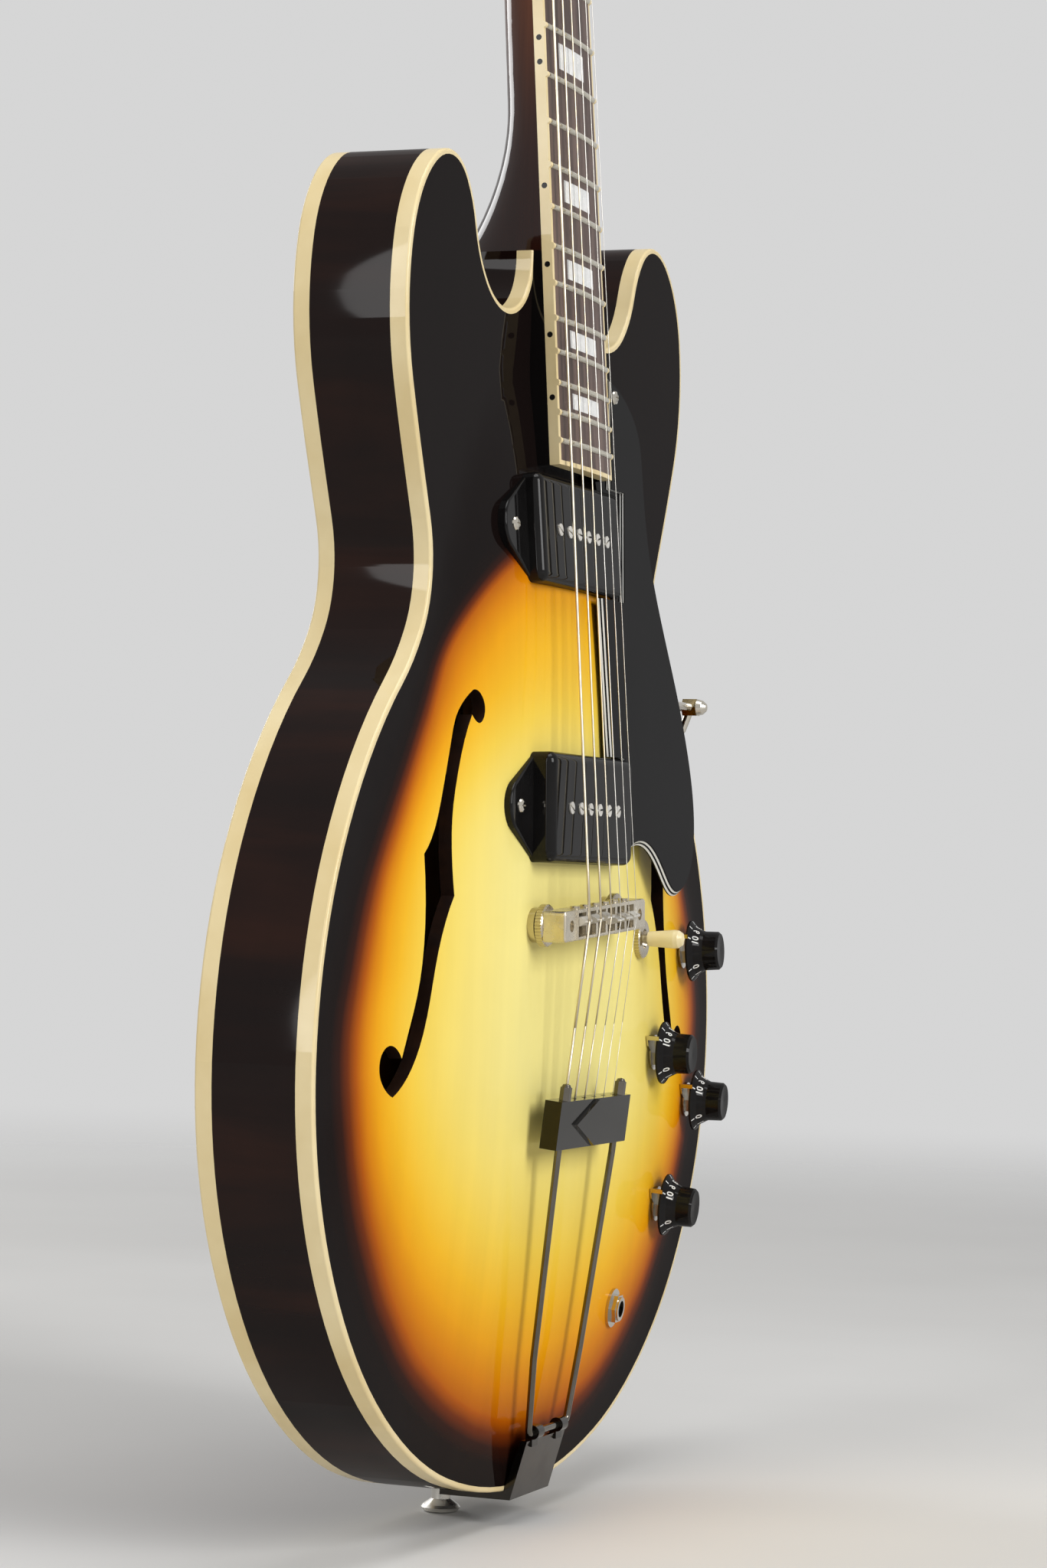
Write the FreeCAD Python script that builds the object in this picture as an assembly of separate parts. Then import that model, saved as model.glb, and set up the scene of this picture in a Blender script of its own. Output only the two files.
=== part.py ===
import FreeCAD, Part
import math
import os

# Thin hollow archtop guitar. Millimetres. X runs to the treble side, +Y to the back, +Z from the tail to
# the headstock. The origin is the tail end of the rim, on the centre line and half way through the depth.

V = FreeCAD.Vector
X_AXIS = V(1, 0, 0)
Y_AXIS = V(0, 1, 0)
Z_AXIS = V(0, 0, 1)
OUT = V(0, -1, 0)
BIG = 900.0

# Body outline: full widths; the lower bout is placed up from the tail, the rest down from the horns
BODY_LENGTH = 481.5
LOWER_BOUT = 407.0
LOWER_BOUT_Z = 163.0
WAIST = 234.0
WAIST_DOWN = 147.5
UPPER_BOUT = 290.5
UPPER_BOUT_DOWN = 54.5
HORN_TIP_X = 108.0
CUTAWAY_X = 52.0
CUTAWAY_DOWN = 47.5
NECK_JOINT_DOWN = 22.5
NECK_JOINT_W = 56.0
JOINT_CHEEK = 3.0

# Turning points of the outline: across and along from the place named, and heading in degrees
TAIL_TURN = (59.7, 117.6, 38.2)
SHOULDER_TURN = (23.0, 40.5, 140.0)
FLANK_TURN = (10.3, 32.0, 66.0)
HORN_TURN = (12.0, 14.0, 128.0)
HORN_INNER_TURN = (25.0, 22.5, 252.0)

# Body shells
RIM_DEPTH = 43.0
TOP_ARCH = 12.2
BACK_ARCH = 11.0
ARCH_CENTRE_UP = 12.0
ARCH_END_DOWN = 39.0
ARCH_SOFTNESS = 0.25
ARCH_GRID = 12.0
PLATE_T = 5.0
SIDE_T = 3.0
BINDING_W = 2.0
BINDING_H = 6.4
BINDING_ROUND = 0.9
GLUE_GAP = 0.1
LINING_W = 6.0
LINING_H = 9.0
END_BLOCK_W = 80.0
END_BLOCK_T = 18.0
NECK_BLOCK_T = 58.0
TONE_BAR_X = 52.0
TONE_BAR_W = 8.0
TONE_BAR_H = 12.0
TONE_BAR_BELOW = 144.0
TONE_BAR_ABOVE = 112.0
BRIDGE_BLOCK_W = 94.0
BRIDGE_BLOCK_L = 24.0
BRIDGE_BLOCK_H = 9.0

# Sound holes: outline across and along from the outer notch of the treble hole, which lies in from the edge
# of the lower bout and up from the bridge
F_HOLE_IN = 77.7
F_HOLE_UP = 20.0
F_OUTER_UPPER = [(0, 0), (-8.1, 9.0), (-15.2, 23.5), (-21.5, 38.5), (-26.5, 49.0), (-32.9, 55.1),
                 (-39.2, 58.9)]
F_UPPER_LOBE = [(-39.2, 58.9), (-45.2, 57.3), (-47.3, 53.6), (-46.4, 49.6), (-43.2, 47.3), (-39.6, 48.4),
                (-37.8, 50.0)]
F_INNER_UPPER = [(-37.8, 50.0), (-32.8, 42.7), (-25.6, 27.9), (-21.1, 13.9), (-20.1, -1.0), (-21.6, -14.2)]
F_INNER_LOWER = [(-21.6, -14.2), (-14.3, -24.4), (-8.0, -37.6), (-3.1, -52.2), (5.4, -69.5), (13.8, -78.5),
                 (21.5, -83.0)]
F_LOWER_LOBE = [(21.5, -83.0), (28.0, -79.5), (31.6, -74.1), (30.6, -68.6), (25.2, -65.4), (19.4, -66.9),
                (16.1, -70.0)]
F_OUTER_LOWER = [(16.1, -70.0), (10.5, -58.5), (4.8, -46.0), (1.5, -33.7), (-0.2, -19.1), (0, 0)]

# Neck and fingerboard, set to the photographed angle; s runs from the nut to the bridge
SCALE = 624.0
BRIDGE_DOWN = 245.0
BOARD_RISE = 27.4
NECK_ANGLE = 4.43
FRET_COUNT = 22
NUT_W = 42.9
TWELFTH_W = 52.4
BOARD_TAIL = 9.0
BOARD_T = 5.2
BOARD_RADIUS = 305.0
BOARD_BINDING_W = 1.7
FRET_W = 2.4
FRET_H = 1.0
TANG_W = 0.6
TANG_H = 1.8
INLAY_FRETS = (3, 5, 7, 9, 12, 15, 17, 19, 21)
INLAY_SHARE_W = 0.50
INLAY_SHARE_L = 0.53
INLAY_T = 1.5
DOT_FRETS = (3, 5, 7, 9, 15, 17, 19, 21)
DOT_R = 1.1
DOT_DEPTH = 1.2
TWELFTH_DOT_SPREAD = 4.6
NECK_DEPTH_NUT = 15.5
NECK_DEPTH_HEEL = 18.5
NECK_SHOULDER = 0.62
NECK_FLAT = 0.55
HEEL_RUN = 60.3
HEEL_CURVE = 2.0
HEEL_SECTIONS = 4
TENON_W = 34.0
TENON_L = 32.0
TENON_TOP = 1.0
TENON_H = 27.0
HEEL_BACK_GAP = 1.0
NUT_T = 5.0
NUT_H = 8.4
NUT_STRING_H = 1.7
SADDLE_STRING_H = 2.9
TRUSS_R = 2.5
TRUSS_DEPTH = 6.5
TRUSS_SHORT = 6.3
TRUSS_NUT_R = 3.6
TRUSS_NUT_L = 9.0
TRUSS_FIT = 0.05

# Headstock, in its own frame: y is down into the wood from the front of the veneer, z up from the nut
HEAD_ANGLE = 15.0
HEAD_DROP = 4.0
HEAD_LENGTH = 170.0
HEAD_T = 13.5
VENEER_T = 1.5
HEAD_ROOT_W = 43.5
HEAD_LOW_W = 70.0
HEAD_HIGH_W = 79.0
HEAD_FLARE_Z = 38.0
HEAD_TOP_RISE = 7.0
ROD_POCKET_W = 11.0
ROD_POCKET_L = 28.0
ROD_POCKET_D = 10.5
ROD_COVER_T = 2.0
ROD_COVER_W = 24.0
ROD_COVER_L = 46.0

# Tuners
POST_Z = (48.0, 90.0, 132.0)
POST_X = (25.0, 26.5, 28.0)
POST_R = 3.0
POST_H = 17.0
POST_STRING_H = 9.0
POST_FIT = 0.06
BUSHING_R = 4.3
BUSHING_FLANGE_R = 5.6
BUSHING_FLANGE_T = 1.6
GEAR_R = 5.0
GEAR_T = 3.2
GEAR_TEETH = 14
WORM_R = 2.2
WORM_GAP = 0.3
WORM_SHAFT_R = 1.9
HOUSING_W = 17.0
HOUSING_L = 21.0
HOUSING_D = 8.5
HOUSING_CLEAR = 0.9
BUTTON_GAP = 3.0
BUTTON_L = 15.0
BUTTON_W = 18.5
BUTTON_T = 6.5
BUTTON_NECK = 6.0
BUTTON_ROUND = 5.5
BUTTON_EDGE = 1.8

# Strings, bass to treble
STRING_R = (0.585, 0.455, 0.33, 0.215, 0.165, 0.127)
NUT_SPREAD = 36.0
BRIDGE_SPREAD = 52.0
INTONATION = (-2.4, -1.6, -0.8, -1.8, -1.0, -0.2)
BALL_R = 1.9
STRING_FIT = 0.06

# Pickups, the neck one then the bridge one, placed up from the bridge
PICKUP_UP = (141.1, 38.9)
PICKUP_H = (5.0, 8.6)
PICKUP_L = 86.6
PICKUP_W = 40.4
PICKUP_ROUND = 4.0
PICKUP_EDGE = 3.4
EAR_REACH = 21.4
EAR_TIP_R = 10.0
EAR_EDGE = 0.9
EAR_SCREW_X = 55.0
EAR_T = 2.3
COVER_WALL = 2.2
COIL_L = 74.0
COIL_W = 33.0
COIL_H = 15.0
COIL_GAP = 0.4
CUTOUT_MARGIN = 1.5
POLE_SPREAD = 50.0
POLE_R = 2.3
POLE_PROUD = 0.5
POLE_L = 15.0

# Bridge
POST_SPACING = 74.0
BRIDGE_SETBACK = 1.9
BRIDGE_SLANT = 3.6
STUD_R = 2.1
STUD_DEPTH = 12.0
STUD_STOP = 1.5
STUD_FLANGE_R = 6.4
STUD_FLANGE_T = 2.2
WHEEL_R = 7.8
WHEEL_T = 2.9
WHEEL_GAP = 0.9
WHEEL_BEVEL = 0.6
WHEEL_NOTCHES = 40
WHEEL_FIT = 0.06
KNURL_R = 0.28
BRIDGE_L = 87.0
BRIDGE_W = 11.4
BRIDGE_H = 8.8
BRIDGE_CORNER = 1.6
BRIDGE_EDGE = 0.8
BAY_W = 8.0
BAY_L = 8.8
BAY_D = 6.4
SADDLE_W = 7.4
SADDLE_L = 3.4
SADDLE_SEAT = 0.2
SADDLE_GRIP = 0.35
SADDLE_CREST = 0.35
SADDLE_SHOULDER = 0.4
SADDLE_SCREW_R = 1.1
SADDLE_SCREW_HEAD_R = 1.8
SADDLE_SCREW_HEAD_T = 1.0
SADDLE_SCREW_D = 3.0
SADDLE_SCREW_SLOT = 0.25
SADDLE_SCREW_FIT = 0.06

# Trapeze tailpiece, in a frame at its hinge with z up the rods
HINGE_Z = 22.5
AFTER_LENGTH = 85.0
HINGE_RISE = 8.9
TRAPEZE_TILT = 6.05
ROD_R = 1.3
ROD_HINGE_X = 19.7
ROD_BEND_X = 24.4
ROD_BEND_SHARE = 0.263
ROD_BAR_BEND = 4.0
ROD_BAR_X = 29.5
ROD_BEND_R = 5.0
BAR_L = 74.4
BAR_H = 17.8
BAR_T = 6.6
BAR_FRONT = 2.9
ROD_FORWARD = 1.0
DIAMOND_HALF_L = 22.0
DIAMOND_RISE = 1.2
DIAMOND_SHARE = 0.97
ROD_NUT_R = 2.2
ROD_NUT_H = 6.4
STRING_HOLE_R = 1.1
BALL_SEAT_R = 2.3
BALL_SEAT_D = 7.0
BRACKET_W = 40.0
BRACKET_T = 2.4
BRACKET_TAB = 4.0
KNUCKLE_X = 12.5
KNUCKLE_L = 6.0
KNUCKLE_WALL = 1.3
HINGE_FIT = 0.06

# Controls on the treble side, placed in from the edge of the lower bout and up from its widest place
KNOB_SPOTS = ((92.5, -4.0), (71.5, -66.0), (46.5, 36.0), (32.5, -25.5))
KNOB_NAMES = ("neck_volume_knob", "bridge_volume_knob", "neck_tone_knob", "bridge_tone_knob")
KNOB_SKIRT_R = 12.4
KNOB_LIFT = 4.2
KNOB_CROWN_R = 8.0
KNOB_SKIRT_H = 5.0
KNOB_H = 12.4
KNOB_WALL = 1.6
SHAFT_R = 3.0
SHAFT_BITE = 8.0
POT_R = 12.0
POT_H = 9.0
POT_BUSH_R = 4.7
POT_BUSH_H = 3.0
POT_NUT_R = 5.6
HOLE_CLEAR = 0.3
POINTER_R = 7.0
POINTER_T = 0.6
POINTER_LIFT = 0.3
POINTER_REACH = 14.5
POINTER_W = 5.0
POINTER_ANGLE = 152.0
SWITCH_SPOT = (118.0, 41.5)
SWITCH_NUT_R = 7.8
SWITCH_NUT_T = 2.6
SWITCH_NUT_HOLE = 3.9
SWITCH_BUSH_R = 5.8
SWITCH_BODY_W = 16.0
SWITCH_BODY_L = 30.0
SWITCH_BODY_D = 20.0
LEVER_R = 1.6
LEVER_PIVOT_D = 3.0
LEVER_BARREL_R = 2.4
LEVER_BARREL_L = 5.6
TIP_R = 3.7
TIP_BASE_R = 2.9
TIP_L = 14.6
TIP_GAP = 1.6
JACK_SPOT = (122.5, -103.5)
JACK_BORE_R = 3.25
JACK_BUSH_R = 4.7
JACK_BODY_R = 8.0
JACK_BODY_L = 16.0
JACK_WASHER_R = 7.6
JACK_WASHER_T = 1.2
JACK_NUT_R = 6.0
JACK_NUT_T = 2.2

# Pickguard: a flat plate that floats over the top; heights are above the front rim plane, and its outline is
# given across from the centre line and as a share of its length up from the lower end
GUARD_T = 2.6
GUARD_BEVEL = 2.0
GUARD_UPPER_H = 11.3
GUARD_LOWER_H = 18.0
GUARD_LOWER_UP = 8.0
GUARD_LENGTH = 197.0
GUARD_GAP = 1.0
GUARD_MID_X = (19.0, 29.0)
GUARD_EDGE = [(50.0, 0.964), (63.0, 0.904), (67.5, 0.822), (74.5, 0.685), (85.0, 0.584), (108.0, 0.411),
              (121.0, 0.294), (129.0, 0.157), (126.0, 0.066), (115.0, 0.010), (103.0, 0.0), (88.0, 0.046),
              (70.0, 0.094), (55.0, 0.091)]
GUARD_SCREW = (33.5, 0.964)

# Guard bracket: an arm under the guard and a leg down the rim, with an acorn nut where they meet
BRACKET_UP = 84.5
BRACKET_ROD_R = 1.6
BRACKET_ARM = 42.0
BRACKET_FOOT_Y = -6.0
BRACKET_FOOT_R = 4.2
BRACKET_CLEAR = 0.4
BRACKET_CLAMP_L = 12.0
BRACKET_CLAMP_W = 9.0
BRACKET_NUT_R = 3.9
BRACKET_NUT_L = 6.0
BRACKET_DOME = 4.0
BRACKET_PIN_L = 10.0
BRACKET_PIN_LEAN = 21.0

# Strap buttons
STRAP_Y = 11.5
STRAP_HEEL_Z = 442.0
STRAP_BASE_R = 5.6
STRAP_WAIST_R = 3.6
STRAP_HEAD_R = 7.4
STRAP_H = 11.6

# Wood screws: head radius, head height, shank radius, length under the head
SCREW_HEAD_R = 2.7
SCREW_HEAD_H = 1.1
SCREW_SHANK_R = 1.3
SCREW_L = 12.0
SMALL_SCREW = 0.6

front_y = -RIM_DEPTH / 2
back_y = RIM_DEPTH / 2
waist_z = BODY_LENGTH - WAIST_DOWN
upper_bout_z = BODY_LENGTH - UPPER_BOUT_DOWN
cutaway_z = BODY_LENGTH - CUTAWAY_DOWN
joint_z = BODY_LENGTH - NECK_JOINT_DOWN
bridge_z = joint_z - BRIDGE_DOWN
arch_centre_z = LOWER_BOUT_Z + ARCH_CENTRE_UP
arch_end_z = joint_z - ARCH_END_DOWN
pickup_z = [bridge_z + up for up in PICKUP_UP]
guard_low_z = bridge_z + GUARD_LOWER_UP
bar_z = bridge_z - HINGE_Z - AFTER_LENGTH
board_end_s = SCALE * (1 - 0.5 ** (FRET_COUNT / 12.0)) + BOARD_TAIL
neck_place = FreeCAD.Placement(V(0, front_y - BOARD_RISE, bridge_z), FreeCAD.Rotation(X_AXIS, -NECK_ANGLE))
head_tilt = FreeCAD.Placement(V(0, HEAD_DROP, SCALE + NUT_T), FreeCAD.Rotation(X_AXIS, -HEAD_ANGLE))
head_place = neck_place * head_tilt
bridge_place = FreeCAD.Placement(V(0, 0, bridge_z - BRIDGE_SETBACK), FreeCAD.Rotation(Y_AXIS, -BRIDGE_SLANT))
trapeze_place = FreeCAD.Placement(V(0, front_y - HINGE_RISE, HINGE_Z), FreeCAD.Rotation(X_AXIS, TRAPEZE_TILT))


def bout_spot(spot):
    """Place on the top from a distance in from the treble edge and up from the widest place."""
    return LOWER_BOUT / 2 - spot[0], LOWER_BOUT_Z + spot[1]


knob_places = [bout_spot(spot) for spot in KNOB_SPOTS]
switch_place = bout_spot(SWITCH_SPOT)
jack_place = bout_spot(JACK_SPOT)


# General shapes

def placed(shape, place):
    moved = shape.copy()
    moved.Placement = place * moved.Placement
    return moved


def box(x0, x1, y0, y1, z0, z1):
    return Part.makeBox(x1 - x0, y1 - y0, z1 - z0, V(x0, y0, z0))


def rod_between(start, end, radius):
    return Part.makeCylinder(radius, (end - start).Length, start, end - start)


def fused(shapes):
    whole = shapes[0].multiFuse(shapes[1:])
    return whole.removeSplitter()


def cut_all(shape, tools):
    return shape.cut(Part.makeCompound(tools))


def mirrored(shape):
    return shape.mirror(V(0, 0, 0), X_AXIS)


def turned(profile, axis_start, axis):
    """Solid of revolution of a closed list of points."""
    wire = Part.makePolygon(profile + profile[:1])
    return Part.Face(wire).revolve(axis_start, axis, 360)


def turned_out(profile):
    """Solid of revolution about the outward axis from (radius, height) pairs."""
    return turned([V(r, -h, 0) for r, h in profile], V(0, 0, 0), OUT)


def hexagon(radius, height, low):
    """Upright hexagonal prism along the outward axis, from the given height."""
    turns = [i * math.pi / 3 for i in range(7)]
    corners = [V(radius * math.cos(turn), -low, radius * math.sin(turn)) for turn in turns]
    return Part.Face(Part.makePolygon(corners)).extrude(OUT * height)


def swept_rod(points, bend, radius):
    """Round bar along straight runs joined by tangent arcs."""
    edges = []
    here = points[0]
    for before, corner, after in zip(points, points[1:], points[2:]):
        back = (before - corner).normalize()
        ahead = (after - corner).normalize()
        half = back.getAngle(ahead) / 2
        reach = bend / math.tan(half)
        start = corner + back * reach
        end = corner + ahead * reach
        middle = corner + (back + ahead).normalize() * (bend / math.sin(half) - bend)
        edges.append(Part.makeLine(here, start))
        edges.append(Part.Arc(start, middle, end).toShape())
        here = end
    edges.append(Part.makeLine(here, points[-1]))
    ring = Part.Wire(Part.makeCircle(radius, points[0], points[1] - points[0]))
    return Part.Wire(edges).makePipeShell([ring], True, True)


# Body outline

def arc_from(start, heading, end):
    """Arc in the XZ plane from a start point and heading to an end point."""
    chord = end - start
    side = V(-heading.z, 0, heading.x)
    lean = 2 * chord.dot(side)
    if abs(lean) < 1e-7:
        return Part.makeLine(start, end)
    radius = chord.dot(chord) / lean
    centre = start + side * radius
    middle = centre + ((start + end) * 0.5 - centre).normalize() * abs(radius)
    if heading.dot(chord) < 0:
        middle = centre * 2 - middle
    return Part.Arc(start, middle, end).toShape()


def biarc(start, start_deg, end, end_deg):
    """Two tangent arcs between two points with headings."""
    h0 = V(math.cos(math.radians(start_deg)), 0, math.sin(math.radians(start_deg)))
    h1 = V(math.cos(math.radians(end_deg)), 0, math.sin(math.radians(end_deg)))
    chord = end - start
    turn = 1 - h0.dot(h1)
    along = chord.dot(h0 + h1)
    if turn < 1e-9:
        reach = chord.dot(chord) / (4 * chord.dot(h1))
    else:
        reach = (math.sqrt(along * along + 2 * turn * chord.dot(chord)) - along) / (2 * turn)
    first = start + h0 * reach
    second = end - h1 * reach
    join = (first + second) * 0.5
    return [arc_from(start, h0, join), arc_from(join, (second - first).normalize(), end)]


def outline_stations():
    """Points and headings of the treble half, from the tail round to the neck joint."""
    bout = LOWER_BOUT / 2
    waist = WAIST / 2
    upper = UPPER_BOUT / 2
    joint = NECK_JOINT_W / 2
    return [
        (V(0, 0, 0), 0),
        (V(bout - TAIL_TURN[0], 0, LOWER_BOUT_Z - TAIL_TURN[1]), TAIL_TURN[2]),
        (V(bout, 0, LOWER_BOUT_Z), 90),
        (V(waist + SHOULDER_TURN[0], 0, waist_z - SHOULDER_TURN[1]), SHOULDER_TURN[2]),
        (V(waist, 0, waist_z), 90),
        (V(waist + FLANK_TURN[0], 0, waist_z + FLANK_TURN[1]), FLANK_TURN[2]),
        (V(upper, 0, upper_bout_z), 90),
        (V(upper - HORN_TURN[0], 0, BODY_LENGTH - HORN_TURN[1]), HORN_TURN[2]),
        (V(HORN_TIP_X, 0, BODY_LENGTH), 180),
        (V(HORN_TIP_X - HORN_INNER_TURN[0], 0, BODY_LENGTH - HORN_INNER_TURN[1]), HORN_INNER_TURN[2]),
        (V(CUTAWAY_X, 0, cutaway_z), 180),
        (V(joint, 0, joint_z - JOINT_CHEEK), 90),
    ]


def body_outline():
    stations = outline_stations()
    edges = []
    for (p, a), (q, b) in zip(stations, stations[1:]):
        edges += biarc(p, a, q, b)
    top_corner = V(NECK_JOINT_W / 2, 0, joint_z)
    edges.append(Part.makeLine(stations[-1][0], top_corner))
    edges += [mirrored(e) for e in edges]
    edges.append(Part.makeLine(top_corner, V(-top_corner.x, 0, top_corner.z)))
    return Part.Wire(Part.__sortEdges__(edges))


outline = body_outline()


def inset(distance):
    return outline.makeOffset2D(-distance) if distance else outline


def prism(wire, y0, y1):
    lowered = wire.copy()
    lowered.translate(V(0, y0, 0))
    return Part.Face(lowered).extrude(V(0, y1 - y0, 0))


# Arched shells

def half_width(z):
    step = min(max((z - LOWER_BOUT_Z) / (waist_z - LOWER_BOUT_Z), 0), 1)
    return LOWER_BOUT / 2 + (WAIST - LOWER_BOUT) / 2 * step * step * (3 - 2 * step)


def arch_rise(x, z, height):
    """How far the arched shell stands above the flat rim at a point of the plan."""
    if z < arch_centre_z:
        along = ((arch_centre_z - z) / arch_centre_z) ** 2
    else:
        along = ((z - arch_centre_z) / (arch_end_z - arch_centre_z)) ** 4
    fill = max(1 - (x / half_width(z)) ** 2 - along, 0)
    return height * (1 + ARCH_SOFTNESS) * fill * fill / (fill + ARCH_SOFTNESS)


def top_y(x, z):
    return front_y - arch_rise(x, z, TOP_ARCH)


def arch_face(height, rim_y, side):
    """Smooth face through points of the arch formula, side -1 for the top and 1 for the back."""
    half = max(LOWER_BOUT, UPPER_BOUT) / 2 + ARCH_GRID
    across = int(2 * half / ARCH_GRID) + 1
    along = int((BODY_LENGTH + 2 * ARCH_GRID) / ARCH_GRID) + 1
    rows = []
    for i in range(across):
        x = -half + 2 * half * i / (across - 1)
        row = []
        for j in range(along):
            z = -ARCH_GRID + (BODY_LENGTH + 2 * ARCH_GRID) * j / (along - 1)
            row.append(V(x, rim_y + side * arch_rise(x, z, height), z))
        rows.append(row)
    surface = Part.BSplineSurface()
    surface.interpolate(rows)
    return surface.toShape()


top_face = arch_face(TOP_ARCH, front_y, -1)
back_face = arch_face(BACK_ARCH, back_y, 1)
under_top = top_face.extrude(V(0, RIM_DEPTH / 2, 0))


def top_seat(x, z):
    """Frame on the top at a point of the plan, its -y axis square to the arched surface."""
    step = 1.0
    slope_x = (top_y(x + step, z) - top_y(x - step, z)) / (2 * step)
    slope_z = (top_y(x, z + step) - top_y(x, z - step)) / (2 * step)
    normal = V(slope_x, -1, slope_z).normalize()
    return FreeCAD.Placement(V(x, top_y(x, z), z), FreeCAD.Rotation(OUT, normal))


def shell_plan(y0, y1):
    """Plan of a plate inside the binding, carried on to the neck joint."""
    joint = NECK_JOINT_W / 2 - BINDING_W
    bridge_piece = box(-joint, joint, y0, y1, joint_z - NECK_BLOCK_T, joint_z)
    return fused([prism(inset(BINDING_W), y0, y1), bridge_piece])


def f_hole_wire():
    x = LOWER_BOUT / 2 - F_HOLE_IN
    z = bridge_z + F_HOLE_UP
    edges = []
    for points in (F_OUTER_UPPER, F_UPPER_LOBE, F_INNER_UPPER, F_INNER_LOWER, F_LOWER_LOBE, F_OUTER_LOWER):
        curve = Part.BSplineCurve()
        curve.interpolate([V(x + across, 0, z + along) for across, along in points])
        edges.append(curve.toShape())
    return Part.Wire(edges)


def hardware_holes():
    """Drillings through the top for the controls, the bridge studs and the coils."""
    deep = 2 * PLATE_T
    tools = []
    for x, z in knob_places:
        drill = Part.makeCylinder(POT_BUSH_R + HOLE_CLEAR, 2 * deep, V(0, deep, 0), OUT)
        tools.append(placed(drill, top_seat(x, z)))
    for place, radius in ((switch_place, SWITCH_BUSH_R), (jack_place, JACK_BUSH_R)):
        drill = Part.makeCylinder(radius + HOLE_CLEAR, 2 * deep, V(0, deep, 0), OUT)
        tools.append(placed(drill, top_seat(*place)))
    tools += stud_drills()
    reach_x = COIL_L / 2 + CUTOUT_MARGIN
    reach_z = COIL_W / 2 + CUTOUT_MARGIN
    for z in pickup_z:
        tools.append(box(-reach_x, reach_x, -RIM_DEPTH, 0, z - reach_z, z + reach_z))
    return tools


def make_top_plate():
    slab = top_face.extrude(V(0, PLATE_T, 0))
    plate = slab.common(shell_plan(-RIM_DEPTH, 0))
    hole = prism(f_hole_wire(), -RIM_DEPTH, 0)
    return cut_all(plate, [hole, mirrored(hole)] + hardware_holes())


def make_back_plate():
    slab = back_face.extrude(V(0, -PLATE_T, 0))
    return slab.common(shell_plan(0, RIM_DEPTH))


def binding_ring(y0, y1):
    ring = prism(outline, y0, y1).cut(prism(inset(BINDING_W), y0, y1))
    joint = NECK_JOINT_W / 2 - BINDING_W
    return ring.cut(box(-joint, joint, y0, y1, cutaway_z, joint_z))


def rounded_binding(y0, y1, edge_y):
    """Binding strip with its outer corner rounded along the whole outline."""
    ring = binding_ring(y0, y1)
    outer = [e for e in ring.Edges if on_outline(e, edge_y)]
    return ring.makeFillet(BINDING_ROUND, outer)


def on_outline(edge, y):
    middle = edge.valueAt((edge.FirstParameter + edge.LastParameter) / 2)
    if abs(middle.y - y) > 1e-6 or middle.z > joint_z - 1e-6 and abs(middle.x) < NECK_JOINT_W / 2 - 1e-6:
        return False
    return outline.distToShape(Part.Vertex(V(middle.x, 0, middle.z)))[0] < 1e-5


def make_bindings():
    top = rounded_binding(front_y, front_y + BINDING_H, front_y)
    back = rounded_binding(back_y - BINDING_H, back_y, back_y)
    return Part.makeCompound([top, back])


def make_rim_sides():
    y0 = front_y + PLATE_T + GLUE_GAP
    y1 = back_y - PLATE_T - GLUE_GAP
    rim = prism(outline, y0, y1).cut(prism(inset(SIDE_T), y0, y1))
    joint = NECK_JOINT_W / 2 - SIDE_T
    gate = box(-joint, joint, y0, y1, cutaway_z, joint_z)
    rings = [binding_ring(front_y, front_y + BINDING_H), binding_ring(back_y - BINDING_H, back_y)]
    return cut_all(rim, [gate] + rings)


def block_boxes():
    """Places of the neck block and the end block between the plates."""
    y0 = front_y + PLATE_T + GLUE_GAP
    y1 = back_y - PLATE_T - GLUE_GAP
    joint = NECK_JOINT_W / 2 - SIDE_T
    neck_block = box(-joint, joint, y0, y1, joint_z - NECK_BLOCK_T, joint_z)
    end_block = box(-END_BLOCK_W / 2, END_BLOCK_W / 2, y0, y1, 0, END_BLOCK_T)
    return neck_block, end_block.common(prism(inset(SIDE_T), y0, y1))


def under_plate(shape):
    """Trims a piece that is glued to the inside of the arched top."""
    inside = top_face.copy()
    inside.translate(V(0, PLATE_T + GLUE_GAP, 0))
    return shape.cut(inside.extrude(OUT * RIM_DEPTH))


def tenon_box(grow):
    y0 = front_y + PLATE_T + TENON_TOP - grow
    half = TENON_W / 2 + grow
    return box(-half, half, y0, y0 + TENON_H + 2 * grow, joint_z - TENON_L - grow, joint_z)


def make_blocks():
    neck_block, end_block = block_boxes()
    neck_block = neck_block.cut(tenon_box(GLUE_GAP))
    return Part.makeCompound([neck_block, end_block])


def make_linings_and_bars():
    y0 = front_y + PLATE_T + GLUE_GAP
    y1 = back_y - PLATE_T - GLUE_GAP
    plan = prism(inset(SIDE_T), y0, y1).cut(prism(inset(SIDE_T + LINING_W), y0, y1))
    plan = cut_all(plan, list(block_boxes()))
    upper = plan.common(box(-BIG, BIG, y0, y0 + LINING_H, -BIG, BIG))
    lower = plan.common(box(-BIG, BIG, y1 - LINING_H, y1, -BIG, BIG))
    solids = upper.Solids + lower.Solids
    top_reach = front_y - TOP_ARCH
    for side in (-1, 1):
        x = side * TONE_BAR_X
        bar = box(x - TONE_BAR_W / 2, x + TONE_BAR_W / 2, top_reach, front_y + PLATE_T + TONE_BAR_H / 2,
                  bridge_z - TONE_BAR_BELOW, bridge_z + TONE_BAR_ABOVE)
        solids.append(under_plate(bar))
    low = top_y(BRIDGE_BLOCK_W / 2, bridge_z) + PLATE_T + BRIDGE_BLOCK_H
    block = box(-BRIDGE_BLOCK_W / 2, BRIDGE_BLOCK_W / 2, top_reach, low,
                bridge_z - BRIDGE_BLOCK_L / 2, bridge_z + BRIDGE_BLOCK_L / 2)
    solids.append(cut_all(under_plate(block), stud_drills()))
    return Part.makeCompound(solids)


# Neck

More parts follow.
